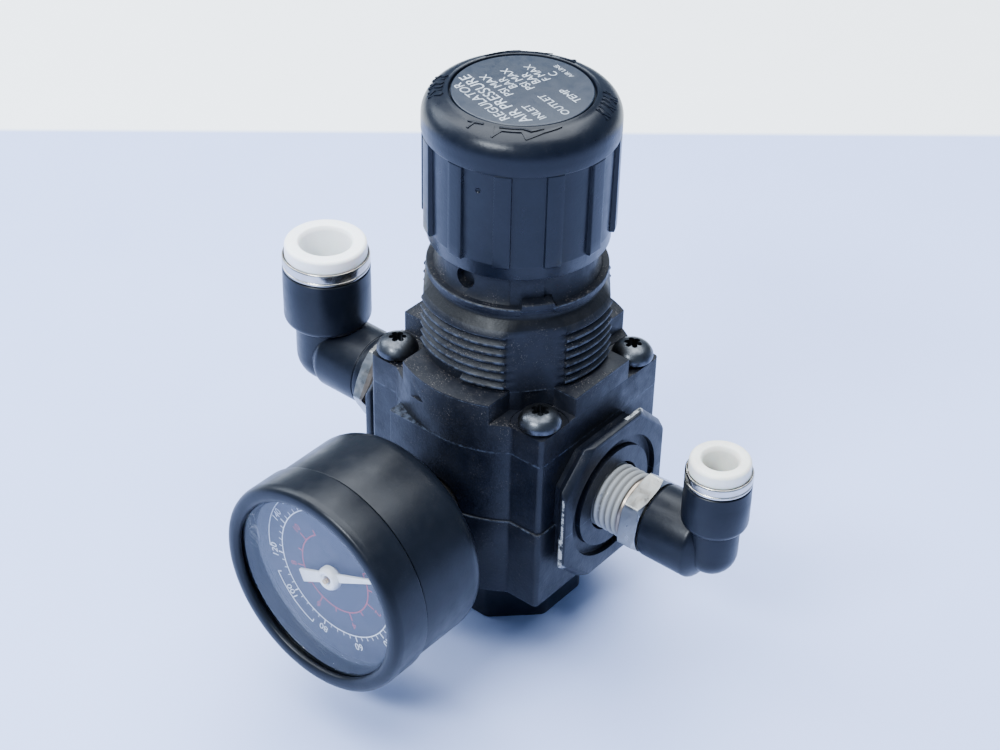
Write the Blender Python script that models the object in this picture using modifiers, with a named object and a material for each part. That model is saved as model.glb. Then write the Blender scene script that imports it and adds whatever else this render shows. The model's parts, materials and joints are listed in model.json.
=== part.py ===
"""Modular air pressure regulator with a dial gauge and two swivelling push-in elbows.

Sizes are in millimetres in the constants and calls below, and the helpers turn them into metres.
The origin is the centre of the underside of the bottom plug, on the regulator's main axis.
+Z is up, +X is the outlet port, -X the inlet port and -Y the side that carries the gauge.
"""

import math
from dataclasses import dataclass

import bmesh
import bpy
from mathutils import Vector

MM = 0.001
WELD = 0.000002
GAP = 0.3

# Main castings
PORT_Z = 33.0
GAUGE_Z = 32.3
BODY_LOW = 14.6
STEP_Z = 32.0
JOINT_Z = 47.6
PAD_Z = 53.8
SHOULDER_Z = 58.0
HALF_X = 20.5
HALF_Y = 17.5
BULGE_R = 22.3
CORNER_CUT = 1.2
FLAT_DRAFT = 0.06
STEP_OUT = 0.4
PAD_X = 11.4
SCREW_X = 17.0
SCREW_Y = 13.7

# Port plates at both ends of the body
PLATE_FACE = 24.6
PLATE_EDGE = 23.3
PLATE_BACK = 21.6
PLATE_HALF_H = 15.25
PLATE_HALF_W = 14.8
PLATE_CUT = 6.4
THREAD_R = 6.55
THREAD_ROOT = 5.85
THREAD_PITCH = 1.34
PORT_R = THREAD_R + 0.35

# Bonnet neck, collar and knob
NECK_R = 17.3
NECK_CREST = 18.2
NECK_LOW = 59.0
NECK_PITCH = 1.8
NECK_RIDGES = 6
NECK_FLAT_AZIMUTH = 38.9
NECK_FLAT_WIDTH = 10.3
LIP_LOW = 73.6
LIP_TOP = 75.2
LIP_R = 16.6
COLLAR_R = 14.6
BONNET_TOP = 84.0
SPRING_BORE = 12.4
KNOB_LOW = 81.2
KNOB_R = 17.5
KNOB_SKIRT_R = 16.8
KNOB_BORE = 15.6
KNOB_SHOULDER = 4.4
KNOB_RIB_LOW = 83.9
KNOB_RIB_TOP = 102.3
KNOB_TOP = 109.7
KNOB_RIBS = 12
KNOB_RIB_AZIMUTH = -61.0
KNOB_RIB_WIDTH = 10.0
LABEL_R = 12.4
LOCK_TRAVEL = 4.5

# Setting mechanism and valve
SCREW_R = 4.0
SCREW_PITCH = 1.25
NUT_TRAVEL = 5.0
HEAD_ACROSS_FLATS = 7.0
COIL_R = 8.6
COIL_WIRE = 1.3
COIL_TURNS = 5.0
STEM_R = 1.6

# Pressure gauge, along the axis that leaves the body at -Y
CASE_BACK = 32.2
CASE_FRONT = 56.1
CASE_R = 20.5
CASE_BORE = 18.9
BEZEL_R = 21.0
BEZEL_BACK = 48.2
BEZEL_BORE = 19.9
BEZEL_OPENING = 17.9
BEZEL_SEAT = 54.9
DIAL_FACE = 49.5
DIAL_R = 18.5
POINTER_ANGLE = 26.0
PINION_TEETH = 10
SECTOR_TEETH = 60
GEAR_MODULE = 0.35
SECTOR_ANGLE = -60.0
TAIL_REACH = 4.1
TUBE_COIL_R = 15.2
TUBE_END = -20.0
TUBE_SWEEP = 242.0
LINK_LOW = 43.5
LINK_HIGH = 44.1

STEPS_LARGE = 30
STEPS_SMALL = 16

PARTS = "air_pressure_regulator"
CUTTERS = "cutters"
FACING = {
    "up": (0, 0, 0),
    "right": (0, math.radians(90), 0),
    "left": (0, math.radians(-90), 0),
    "front": (math.radians(90), 0, 0),
    "back": (math.radians(-90), 0, 0),
}


# ---------------------------------------------------------------- scene and helpers


def clear_scene():
    for obj in list(bpy.data.objects):
        bpy.data.objects.remove(obj, do_unlink=True)
    for name in (PARTS, CUTTERS):
        collection = bpy.data.collections.new(name)
        bpy.context.scene.collection.children.link(collection)


def material(name, colour, roughness, metallic=0.0):
    look = bpy.data.materials.get(name)
    if look is None:
        look = bpy.data.materials.new(name)
        look.use_nodes = True
        shader = look.node_tree.nodes["Principled BSDF"]
        shader.inputs["Base Color"].default_value = (*colour, 1.0)
        shader.inputs["Roughness"].default_value = roughness
        shader.inputs["Metallic"].default_value = metallic
    return look


def place(name, mesh, at=(0, 0, 0), facing="up"):
    """Puts a mesh in the parts collection, with its origin at a point in millimetres."""
    obj = bpy.data.objects.new(name, mesh)
    obj.location = Vector(at) * MM
    obj.rotation_euler = FACING[facing]
    bpy.data.collections[PARTS].objects.link(obj)
    return obj


def finish(obj, look):
    """Gives a part its material and smooth shading on its round stretches."""
    obj.data.materials.clear()
    obj.data.materials.append(look)
    obj.data.shade_smooth()
    if len(obj.data.polygons):
        obj.data.set_sharp_from_angle(angle=math.radians(35))
    return obj


def turned(name, profile, steps=STEPS_SMALL, at=(0, 0, 0), facing="up"):
    """A turned solid. The profile is a loop of (radius, height) pairs in the section plane."""
    following = profile[1:] + profile[:1]
    area = sum(a[0] * b[1] - b[0] * a[1] for a, b in zip(profile, following))
    if area > 0:
        profile = profile[::-1]
    mesh = bpy.data.meshes.new(name)
    count = len(profile)
    loop = [(i, (i + 1) % count) for i in range(count)]
    edges = [(a, b) for a, b in loop if profile[a][0] > 0 or profile[b][0] > 0]
    mesh.from_pydata([(r * MM, 0, z * MM) for r, z in profile], edges, [])
    obj = place(name, mesh, at, facing)
    screw = obj.modifiers.new("turn", "SCREW")
    screw.steps = steps
    screw.render_steps = steps
    screw.use_merge_vertices = True
    screw.merge_threshold = WELD
    return obj


def solid_from_curve(name, curve, move=(0, 0, 0)):
    """The closed mesh of a curve that is drawn in millimetres, with its caps welded."""
    guide = bpy.data.objects.new(name + "_guide", curve)
    bpy.data.collections[CUTTERS].objects.link(guide)
    depsgraph = bpy.context.evaluated_depsgraph_get()
    mesh = bpy.data.meshes.new_from_object(guide.evaluated_get(depsgraph))
    bpy.data.objects.remove(guide)
    mesh.name = name
    work = bmesh.new()
    work.from_mesh(mesh)
    bmesh.ops.remove_doubles(work, verts=work.verts, dist=0.0005)
    bmesh.ops.translate(work, verts=work.verts, vec=move)
    bmesh.ops.scale(work, verts=work.verts, vec=(MM, MM, MM))
    bmesh.ops.recalc_face_normals(work, faces=work.faces)
    work.to_mesh(mesh)
    work.free()
    mesh.materials.clear()
    return mesh


def prism(name, loops, low, high, at=(0, 0, 0), facing="up"):
    """A flat outline, with any holes as further loops, from one height to another."""
    curve = bpy.data.curves.new(name, "CURVE")
    curve.dimensions = "2D"
    curve.fill_mode = "BOTH"
    curve.extrude = (high - low) / 2
    for loop in loops:
        spline = curve.splines.new("POLY")
        spline.points.add(len(loop) - 1)
        spline.use_cyclic_u = True
        for point, (x, y) in zip(spline.points, loop):
            point.co = (x, y, 0, 1)
    mesh = solid_from_curve(name, curve, (0, 0, (low + high) / 2))
    work = bmesh.new()
    work.from_mesh(mesh)
    bmesh.ops.dissolve_limit(work, angle_limit=math.radians(1), verts=work.verts, edges=work.edges)
    work.to_mesh(mesh)
    work.free()
    return place(name, mesh, at, facing)


def loft(name, sections, at=(0, 0, 0), facing="up"):
    """A closed solid through outlines of equal point counts, each given with its height."""
    mesh = bpy.data.meshes.new(name)
    count = len(sections[0][1])
    points = [(x * MM, y * MM, height * MM) for height, loop in sections for x, y in loop]
    ends = [range(count)[::-1], range(len(points) - count, len(points))]
    sides = []
    for low in range(0, len(points) - count, count):
        for i in range(count):
            j = (i + 1) % count
            sides.append((low + i, low + j, low + count + j, low + count + i))
    mesh.from_pydata(points, [], [tuple(end) for end in ends] + sides)
    return place(name, mesh, at, facing)


def wire(name, points, radius, at=(0, 0, 0), facing="up", resolution=2):
    """A round wire or tube along a line of points, with closed ends."""
    curve = bpy.data.curves.new(name, "CURVE")
    curve.dimensions = "3D"
    curve.bevel_depth = radius
    curve.bevel_resolution = resolution
    curve.use_fill_caps = True
    spline = curve.splines.new("POLY")
    spline.points.add(len(points) - 1)
    for point, co in zip(spline.points, points):
        point.co = (*co, 1)
    return place(name, solid_from_curve(name, curve), at, facing)


def block(name, size, centre):
    mesh = bpy.data.meshes.new(name)
    work = bmesh.new()
    bmesh.ops.create_cube(work, size=1.0)
    bmesh.ops.scale(work, verts=work.verts, vec=Vector(size) * MM)
    work.to_mesh(mesh)
    work.free()
    return place(name, mesh, centre)


def rod(name, radius, low, high, at=(0, 0, 0), facing="up", steps=STEPS_SMALL):
    """A plain cylinder from one height to another along its own axis."""
    mesh = bpy.data.meshes.new(name)
    work = bmesh.new()
    size = {"radius1": radius * MM, "radius2": radius * MM, "depth": (high - low) * MM}
    bmesh.ops.create_cone(work, cap_ends=True, segments=steps, **size)
    bmesh.ops.translate(work, verts=work.verts, vec=(0, 0, (low + high) / 2 * MM))
    work.to_mesh(mesh)
    work.free()
    return place(name, mesh, at, facing)


def combine(target, tools, operation):
    cutters = bpy.data.collections[CUTTERS]
    for tool in tools:
        bpy.data.collections[PARTS].objects.unlink(tool)
        cutters.objects.link(tool)
        tool.hide_render = True
        tool.display_type = "WIRE"
        boolean = target.modifiers.new(tool.name, "BOOLEAN")
        boolean.operation = operation
        boolean.object = tool
        boolean.solver = "EXACT"
        weld = target.modifiers.new(tool.name + "_weld", "WELD")
        weld.merge_threshold = WELD
    return target


def join(target, *tools):
    return combine(target, tools, "UNION")


def cut(target, *tools):
    return combine(target, tools, "DIFFERENCE")


def carry(piece, carrier):
    """Parents a piece to its carrier and leaves it where it stands."""
    bpy.context.view_layer.update()
    piece.parent = carrier
    piece.matrix_parent_inverse = carrier.matrix_world.inverted()
    return piece


def arc(radius, start, end, count, centre=(0, 0)):
    """Points along an arc, with its angles in degrees."""
    points = []
    for i in range(count + 1):
        angle = math.radians(start + (end - start) * i / count)
        points.append((centre[0] + radius * math.cos(angle), centre[1] + radius * math.sin(angle)))
    return points


def circle(radius, count=STEPS_SMALL, centre=(0, 0)):
    return arc(radius, 0, 360, count, centre)[:-1]


def hexagon(across_flats, turn=0.0):
    return arc(across_flats / math.sqrt(3), turn, turn + 360, 6)[:-1]


def toothed(count, root, tip, root_share=0.5, tip_share=0.3, turn=0.0):
    """A ring outline with straight-sided teeth, each centred on a multiple of the pitch."""
    pitch = 360 / count
    points = []
    for i in range(count):
        middle = turn + i * pitch
        for radius, share in ((root, -root_share), (tip, -tip_share), (tip, tip_share), (root, root_share)):
            angle = math.radians(middle + share * pitch / 2)
            points.append((radius * math.cos(angle), radius * math.sin(angle)))
    return points


def ridges(root, crest, low, pitch, count):
    """Profile points of thread-like ridges, from the lowest to the highest."""
    points = []
    for i in range(count):
        base = low + i * pitch
        points += [(root, base), (crest, base + 0.5 * pitch)]
    points.append((root, low + count * pitch))
    return points


# ---------------------------------------------------------------- materials

clear_scene()
BLACK_CAST = material("black_cast", (0.022, 0.028, 0.042), 0.55)
BLACK_PLASTIC = material("black_plastic", (0.020, 0.027, 0.040), 0.42)
BLACK_FITTING = material("black_fitting", (0.016, 0.019, 0.026), 0.38)
NICKEL = material("nickel", (0.62, 0.60, 0.56), 0.3, 1.0)
STEEL = material("steel", (0.35, 0.36, 0.38), 0.35, 1.0)
BRASS = material("brass", (0.72, 0.53, 0.25), 0.32, 1.0)
WHITE_PLASTIC = material("white_plastic", (0.82, 0.83, 0.82), 0.4)
RUBBER = material("rubber", (0.02, 0.02, 0.02), 0.75)
SILVER_PRINT = material("silver_print", (0.30, 0.33, 0.38), 0.5)
DIAL_PAINT = material("dial_paint", (0.03, 0.04, 0.07), 0.5)
POINTER_PAINT = material("pointer_paint", (0.82, 0.82, 0.80), 0.45)
CLEAR = material("clear_plastic", (0.85, 0.9, 0.95), 0.08)


# ---------------------------------------------------------------- body


def footprint(grow=0.0, with_pad=False):
    """Plan outline of the castings: a rectangle whose front and back bulge out round."""
    half_x = HALF_X + grow
    half_y = HALF_Y + grow
    radius = BULGE_R + grow
    meet = math.degrees(math.asin(half_y / radius))
    flat_y = half_y - FLAT_DRAFT
    right = [(half_x, -half_y + CORNER_CUT), (half_x, half_y - CORNER_CUT), (half_x - CORNER_CUT, flat_y)]
    left = [(-x, -y) for x, y in right]
    back = arc(radius, meet, 180 - meet, 10)
    near_left = [(-half_x + CORNER_CUT, flat_y)]
    near_right = [(half_x - CORNER_CUT, -flat_y)]
    if with_pad:
        pad_x = PAD_X + grow
        pad = math.degrees(math.acos(pad_x / radius))
        front = arc(radius, meet - 180, pad - 180, 2) + [(-pad_x, -radius)]
        front += arc(radius, -90, -meet, 5)
    else:
        front = arc(radius, meet - 180, -meet, 10)
    return right + back + near_left + left + front + near_right


def octagon(half_x, half_y, corner):
    quarter = [(half_x, half_y - corner), (half_x - corner, half_y)]
    top = quarter + [(-x, y) for x, y in reversed(quarter)]
    return top + [(-x, -y) for x, y in top]


def port_plate(side):
    """Octagonal end plate of a port, with a back that slopes down to a narrower neck."""
    neck = octagon(PLATE_HALF_H - 2, PLATE_HALF_W - 2, PLATE_CUT - 1)
    edge = octagon(PLATE_HALF_H, PLATE_HALF_W, PLATE_CUT)
    face = octagon(PLATE_HALF_H, PLATE_HALF_W, PLATE_CUT + 1.6)
    sections = [(18, neck), (PLATE_BACK, neck), (PLATE_EDGE, edge), (PLATE_FACE, face)]
    return loft("port_plate_" + side, sections, (0, 0, PORT_Z), side)


def port_cutters(side):
    """Threaded mouth and seal groove of a main port."""
    at = (0, 0, PORT_Z)
    mouth = [(0, 12), (5.2, 12), (5.2, 17), (PORT_R, 17), (PORT_R, PLATE_FACE - 0.2)]
    mouth += [(PORT_R + 0.2, PLATE_FACE + 0.1), (PORT_R + 0.2, 26), (0, 26)]
    groove = [(10.3, 23.5), (12.5, 23.5), (12.5, 26), (10.3, 26)]
    return [
        turned("port_mouth_" + side, mouth, STEPS_SMALL, at, side),
        turned("port_groove_" + side, groove, 20, at, side),
    ]


def body_casting():
    body = prism("body_casting", [footprint(0, True)], STEP_Z - 1, JOINT_Z)
    join(body, prism("lower_block", [footprint(STEP_OUT, True)], BODY_LOW, STEP_Z))
    for side in ("right", "left"):
        join(body, port_plate(side))
    core = [(0, 14), (12, 14), (12, 26), (9.5, 26), (9.5, 31), (7.5, 31), (7.5, 36), (9.5, 36)]
    core += [(9.5, 41), (15, 41), (15, 46.9), (16.8, 46.9), (16.8, 48), (0, 48)]
    cut(body, turned("core_bore", core, 20))
    for side in ("right", "left"):
        cut(body, *port_cutters(side))
    small_port = [(0, 12), (4.4, 12), (4.4, 14), (5.2, 14), (5.2, 21.6), (6.2, 22.6), (6.2, 24), (0, 24)]
    cut(body, turned("gauge_port", small_port, 16, (0, 0, GAUGE_Z), "front"))
    cut(body, turned("rear_port", small_port, 16, (0, 0, GAUGE_Z), "back"))
    passages = {
        "inlet_passage": ((7, 7, 8), (-10.5, 0, 25)),
        "outlet_passage": ((7, 7, 4), (10.5, 0, 38)),
        "gauge_passage": ((5, 7, 5), (0, -10.5, 37.5)),
        "rear_passage": ((5, 7, 5), (0, 10.5, 37.5)),
    }
    for name, (size, centre) in passages.items():
        cut(body, block(name, size, centre))
    for number, (x, y) in enumerate(screw_places(), 1):
        cut(body, rod(f"body_screw_hole_{number}", 1.9, 38, 48.5, (x, y, 0), steps=10))
    return finish(body, BLACK_CAST)


def screw_places():
    return [(SCREW_X, -SCREW_Y), (SCREW_X, SCREW_Y), (-SCREW_X, SCREW_Y), (-SCREW_X, -SCREW_Y)]


def bottom_plug():
    """Plug that closes the body from below, with an eight-sided head to turn it by."""
    head_top = BODY_LOW - GAP
    plug = prism("bottom_plug", [octagon(13.7, 13.7, 8.0)], 0, head_top)
    spigot = [(0, head_top - 1), (11.6, head_top - 1), (11.6, 18), (10.2, 18), (10.2, 20.6), (11.6, 20.6)]
    spigot += [(11.6, 24), (10.8, 24.8), (0, 24.8)]
    join(plug, turned("plug_spigot", spigot, 20))
    well = [(0, 10), (STEM_R + 0.35, 10), (STEM_R + 0.35, 16), (6.2, 16), (6.2, 20)]
    well += [(8.6, 20), (8.6, 26), (0, 26)]
    relief = [(6.0, -1), (10.6, -1), (10.6, 2.2), (6.0, 2.2)]
    cut(plug, turned("plug_well", well, 16), turned("plug_relief", relief, STEPS_SMALL))
    return finish(plug, BLACK_PLASTIC)


def plug_o_ring():
    ring = [(r, 19.3 + z) for r, z in circle(0.55, 6, (10.98, 0))]
    return finish(turned("plug_o_ring", ring, STEPS_SMALL), RUBBER)


def valve_seat():
    seat = [(3.6, 31), (4.6, 31), (4.6, 31.6), (7.2, 31.6), (7.2, 35.6), (4.2, 35.6), (3.6, 35)]
    return finish(turned("valve_seat", seat, STEPS_SMALL), BRASS)


def rear_plug():
    plug = [(0, 15), (4.6, 15), (4.9, 15.5), (4.9, 21.4), (4.4, 22), (0, 22)]
    rear = turned("rear_port_plug", plug, 16, (0, 0, GAUGE_Z), "back")
    cut(rear, prism("rear_plug_socket", [hexagon(5.0)], 18.5, 23, (0, 0, GAUGE_Z), "back"))
    return finish(rear, STEEL)


# ---------------------------------------------------------------- bonnet


def bonnet():
    """Spring housing: a flange with four screw pads, a threaded neck and a collar for the knob."""
    cover = prism("bonnet", [footprint()], JOINT_Z, SHOULDER_Z)
    outer = [(0, PAD_Z - 1.5), (NECK_R, PAD_Z - 1.5)]
    outer += ridges(NECK_R, NECK_CREST, NECK_LOW - 0.9, NECK_PITCH, NECK_RIDGES)
    outer += [(NECK_CREST, 70.2), (15.8, 72.6), (15.8, LIP_LOW), (LIP_R, LIP_LOW), (LIP_R, LIP_TOP)]
    outer += [(COLLAR_R, LIP_TOP), (COLLAR_R, BONNET_TOP - 0.6)]
    outer += [(COLLAR_R - 0.6, BONNET_TOP), (0, BONNET_TOP)]
    for number, (x, y) in enumerate(screw_places(), 1):
        along = math.copysign(1, x)
        across = math.copysign(1, y)
        cut(cover, block(f"screw_pad_{number}", (24, 24, 8), (along * 22.2, across * 19.8, PAD_Z + 4)))
    join(cover, turned("bonnet_neck", outer, STEPS_LARGE))
    for azimuth in (NECK_FLAT_AZIMUTH, 180 - NECK_FLAT_AZIMUTH, 180 + NECK_FLAT_AZIMUTH, -NECK_FLAT_AZIMUTH):
        flat = block(f"neck_flat_{azimuth:.0f}", (3, NECK_FLAT_WIDTH, 16), (0, 0, 0))
        turn = math.radians(azimuth)
        reach = NECK_R - 0.35 + 1.5
        flat.rotation_euler = (0, 0, turn)
        flat.location = Vector((reach * math.cos(turn), reach * math.sin(turn), 66.4)) * MM
        cut(cover, flat)
    pad = arc(15.0, -56, -33, 4) + arc(10, -33, -56, 4)
    arch = arc(LIP_R + 0.3, -49, -26.5, 4) + arc(10, -26.5, -49, 4)
    join(cover, prism("collar_pad", [pad], LIP_TOP - 1, 80.0))
    join(cover, prism("lip_arch", [arch], LIP_LOW + 0.8, LIP_TOP + 0.7))
    chamber = [(0, 47), (16.8, 47), (16.8, 48.3), (13.6, 50.6), (SPRING_BORE, 53), (SPRING_BORE, 79.9)]
    chamber += [(4.4, 79.9), (4.4, 85), (0, 85)]
    cut(cover, turned("spring_chamber", chamber, 20))
    cut(cover, block("nut_keyway", (28.6, 4.6, 28), (0, 0, 65.5)))
    notches = toothed(KNOB_RIBS, 13.0, COLLAR_R + 1, 0.5, 0.5)
    cut(cover, prism("lock_notches", [circle(18, 40), notches], 79.8, 85))
    for number, (x, y) in enumerate(screw_places(), 1):
        cut(cover, rod(f"bonnet_screw_hole_{number}", 2.3, 47, 55, (x, y, 0), steps=12))
    cut(cover, rod("tamper_hole", 2.0, 10, 18, (0, 0, 78.2), "front", 12))
    arrow = [(-3.2, -2.4), (3.4, -1.2), (-2.4, 2.6)]
    cut(cover, prism("flow_arrow", [arrow], BULGE_R - 1.2, BULGE_R + 1, (-6.6, 0, 54.4), "front"))
    return finish(cover, BLACK_PLASTIC)


def bonnet_screw(number, x, y):
    """Pan-head screw with a six-lobed recess."""
    head = [(0, 57.2), (1.6, 57.0), (3.1, 56.2), (3.9, 54.9), (3.95, PAD_Z + GAP), (1.95, PAD_Z + GAP)]
    shank = [(1.95, 48.2), (1.6, 47.8), (1.6, 40.4), (1.1, 39.6), (0, 39.6)]
    screw = turned(f"bonnet_screw_{number}", head + shank, 10, (x, y, 0))
    recess = toothed(6, 1.0, 1.75, 0.6, 0.3)
    cut(screw, prism(f"screw_recess_{number}", [recess], 55.2, 58, (x, y, 0)))
    return finish(screw, STEEL)


# ---------------------------------------------------------------- knob and setting mechanism


def knob():
    """Adjusting knob: a domed cap with twelve ribs, a hexagon drive inside and a ring of lock teeth."""
    outer = [(KNOB_SKIRT_R - 0.3, KNOB_LOW), (KNOB_SKIRT_R, KNOB_RIB_TOP), (KNOB_R, KNOB_RIB_TOP + 1.2)]
    outer += arc(KNOB_SHOULDER, 0, 90, 3, (KNOB_R - KNOB_SHOULDER, KNOB_TOP - 0.7 - KNOB_SHOULDER))
    outer += [(LABEL_R + 0.3, KNOB_TOP), (LABEL_R + 0.3, KNOB_TOP - 1.0), (0, KNOB_TOP - 1.0)]
    inner = [(0, 106.4), (12.6, 106.4), (KNOB_BORE, 103.5), (KNOB_BORE, KNOB_LOW)]
    cap = turned("knob", outer + inner, STEPS_LARGE)
    width = KNOB_RIB_WIDTH * KNOB_RIBS / 360
    ribs = toothed(KNOB_RIBS, KNOB_SKIRT_R - 0.7, KNOB_R, 1.7 * width, 0.9 * width, KNOB_RIB_AZIMUTH)
    join(cap, prism("knob_ribs", [ribs, circle(KNOB_BORE + 0.15, 40)], KNOB_RIB_LOW, KNOB_RIB_TOP + 1.5))
    hub = [circle(6.6, 24), hexagon(HEAD_ACROSS_FLATS + 0.5)]
    join(cap, prism("knob_hub", hub, 90.2, 106.9))
    teeth = toothed(KNOB_RIBS, KNOB_BORE - 0.7, 13.5, 0.42, 0.34, 180 / KNOB_RIBS)
    join(cap, prism("knob_lock_teeth", [circle(KNOB_BORE + 0.3, 40), teeth], 85.2, 88))
    return finish(cap, BLACK_PLASTIC)


def knob_label():
    top = KNOB_TOP - 1.0 + GAP
    disc = [(0, top), (LABEL_R, top), (LABEL_R, top + 0.35), (LABEL_R - 0.2, top + 0.5), (0, top + 0.5)]
    return finish(turned("knob_label", disc, STEPS_LARGE), SILVER_PRINT)


def adjusting_screw():
    """Threaded spindle with a thrust flange and a hexagon head that drives from the knob."""
    thread = ridges(SCREW_R - 0.6, SCREW_R, 58.5, SCREW_PITCH, 8)
    body = [(0, 57.2), (2.6, 57.2), (SCREW_R - 0.6, 58.2)] + thread
    body += [(SCREW_R, 70.2), (SCREW_R, 76.4), (6.5, 76.4), (6.5, 78.3), (3.9, 78.3)]
    body += [(3.9, 84.4), (3.2, 84.4), (3.2, 87), (0, 87)]
    screw = turned("adjusting_screw", body, 12)
    join(screw, prism("screw_head", [hexagon(HEAD_ACROSS_FLATS)], 85.4, 98))
    return finish(screw, STEEL)


def snap_ring():
    """Open ring in the spindle's groove, above the bonnet."""
    outline = arc(5.4, 25, 335, 16) + arc(3.5, 335, 25, 16)
    return finish(prism("snap_ring", [outline], 84.6, 85.2), STEEL)


def thrust_washer():
    washer = [(4.5, 78.6), (8.5, 78.6), (8.5, 79.6), (4.5, 79.6)]
    return finish(turned("thrust_washer", washer, 20), WHITE_PLASTIC)


def spring_rest():
    """Nut that the spindle drives down onto the spring, kept from turning by two keys."""
    section = [(4.35, 70), (7.0, 70), (7.0, 71.6), (11.6, 71.6), (11.9, 72)]
    section += [(11.9, 75.2), (11.4, 75.8), (4.35, 75.8)]
    nut = turned("spring_rest", section, STEPS_SMALL)
    keys = []
    for name, side in (("nut_key_right", 1), ("nut_key_left", -1)):
        keys.append(block(name, (5, 3.8, 3.0), (side * 11.2, 0, 73.6)))
    join(nut, *keys)
    return finish(nut, BRASS)


def coil(name, radius, wire_radius, low, high, turns, steps_per_turn, resolution):
    """Compression spring with closed end turns, along the main axis."""
    count = int(turns * steps_per_turn)
    rise = high - low - 2 * wire_radius
    points = []
    for i in range(count + 1):
        share = i / count
        angle = 2 * math.pi * turns * share
        eased = share - math.sin(2 * math.pi * share) / (2 * math.pi) * 0.75
        points.append((radius * math.cos(angle), radius * math.sin(angle), low + wire_radius + rise * eased))
    return wire(name, points, wire_radius, resolution=resolution)


def range_spring():
    return finish(coil("range_spring", COIL_R, COIL_WIRE, 50.3, 71.3, COIL_TURNS, 12, 1), STEEL)


def valve_spring():
    return finish(coil("valve_spring", 4.6, 0.45, 16.3, 25.8, 4.0, 10, 0), STEEL)


def diaphragm():
    """Rubber sheet with one rolled convolution, clamped between body and bonnet."""
    top = [(2.8, 48.0), (10.9, 48.0), (11.8, 49.0), (13.0, 49.3), (14.2, 48.9), (15.0, 48.0), (16.4, 48.0)]
    under = [(16.4, 47.2), (14.6, 47.2), (13.9, 48.1), (13.0, 48.5), (12.2, 48.2), (11.4, 47.2), (2.8, 47.2)]
    return finish(turned("diaphragm", top + under, 18), RUBBER)


def diaphragm_plate():
    """Upper plate that carries the spring, with a spigot through the diaphragm."""
    plate = [(0, 47.2), (2.4, 47.2), (2.4, 48.3), (10.4, 48.3), (10.8, 48.6), (10.8, 49.9), (6.8, 49.9)]
    plate += [(6.2, 52.4), (4.0, 52.4), (3.6, 50.2), (0, 50.2)]
    return finish(turned("diaphragm_plate", plate, STEPS_SMALL), STEEL)


def diaphragm_seat():
    """Lower plate, with the socket that the valve stem pushes against."""
    seat = [(0, 46.9), (9.6, 46.9), (9.6, 45.9), (9.0, 45.5), (3.4, 45.5)]
    seat += [(3.2, 42.6), (1.0, 42.6), (1.0, 43.2), (0, 43.2)]
    return finish(turned("diaphragm_seat", seat, STEPS_SMALL), BRASS)


def valve_stem():
    stem = [(0, 42.2), (1.2, 42.2), (STEM_R, 41.7), (STEM_R, 30.1), (3.0, 30.1), (3.0, 29.5), (6.9, 29.5)]
    stem += [(6.9, 27.4), (3.6, 26.4), (STEM_R, 26.4), (STEM_R, 12.0), (1.2, 11.6), (0, 11.6)]
    return finish(turned("valve_stem", stem, 16), BRASS)


def valve_disc():
    disc = [(3.35, 29.8), (6.7, 29.8), (6.7, 30.4), (6.4, 30.7), (3.35, 30.7)]
    return finish(turned("valve_disc", disc, 20), RUBBER)


# ---------------------------------------------------------------- pressure gauge


def gauge_at():
    return (0, 0, GAUGE_Z)


def gauge_socket():
    """Connection of the gauge: a threaded stem, a hexagon and the block inside the case."""
    stem = [(1.0, 14.4), (4.3, 14.4), (4.85, 15.0), (4.85, 22.9), (4.4, 23.2)]
    stem += [(4.4, 24), (6.6, 24), (6.6, 29.8), (4.7, 30.2), (4.7, 41.2), (1.0, 41.2)]
    socket = turned("gauge_socket", stem, STEPS_SMALL, gauge_at(), "front")
    outline = [hexagon(14.0, 30), circle(3.0, 16)]
    join(socket, prism("gauge_hexagon", outline, 24.2, 29.6, gauge_at(), "front"))
    return finish(socket, NICKEL)


def gauge_case():
    """Cup of the gauge, closed at the back around its socket."""
    neck_r = BEZEL_BORE - GAP
    outer = [(5.1, CASE_BACK), (18.2, CASE_BACK), (19.8, 32.9), (CASE_R, 34.6), (CASE_R, BEZEL_BACK - GAP)]
    neck = [(neck_r, BEZEL_BACK - GAP), (neck_r, BEZEL_SEAT - 1.5), (CASE_BORE, BEZEL_SEAT - 1.5)]
    inner = neck + [(CASE_BORE, 34.6), (CASE_BORE - 0.9, 33.8), (5.1, 33.8)]
    return finish(turned("gauge_case", outer + inner, STEPS_LARGE, gauge_at(), "front"), BLACK_PLASTIC)


def gauge_bezel():
    """Ring that holds the lens, snapped over the front of the case."""
    outer = [(BEZEL_BORE, BEZEL_BACK), (BEZEL_R, BEZEL_BACK), (BEZEL_R, CASE_FRONT - 1.3)]
    outer += [(BEZEL_R - 0.5, CASE_FRONT - 0.3), (BEZEL_R - 1.4, CASE_FRONT)]
    inner = [(BEZEL_OPENING + 0.6, CASE_FRONT), (BEZEL_OPENING, CASE_FRONT - 0.6)]
    inner += [(BEZEL_OPENING, BEZEL_SEAT), (BEZEL_BORE, BEZEL_SEAT)]
    return finish(turned("gauge_bezel", outer + inner, STEPS_LARGE, gauge_at(), "front"), BLACK_PLASTIC)


def gauge_lens():
    lens = [(0, 53.7), (19.5, 53.7), (19.5, 54.6), (14, 54.9), (7, 55.1), (0, 55.2)]
    return finish(turned("gauge_lens", lens, STEPS_LARGE, gauge_at(), "front"), CLEAR)


def gauge_dial():
    dial = [circle(DIAL_R, STEPS_LARGE), circle(1.5, 12)]
    return finish(prism("gauge_dial", dial, DIAL_FACE - 0.8, DIAL_FACE, gauge_at(), "front"), DIAL_PAINT)


def turned_outline(loop, degrees):
    """An outline turned about the dial's centre. Seen from the front, it turns anticlockwise."""
    c = math.cos(math.radians(degrees))
    s = math.sin(math.radians(degrees))
    return [(x * c - y * s, x * s + y * c) for x, y in loop]


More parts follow.
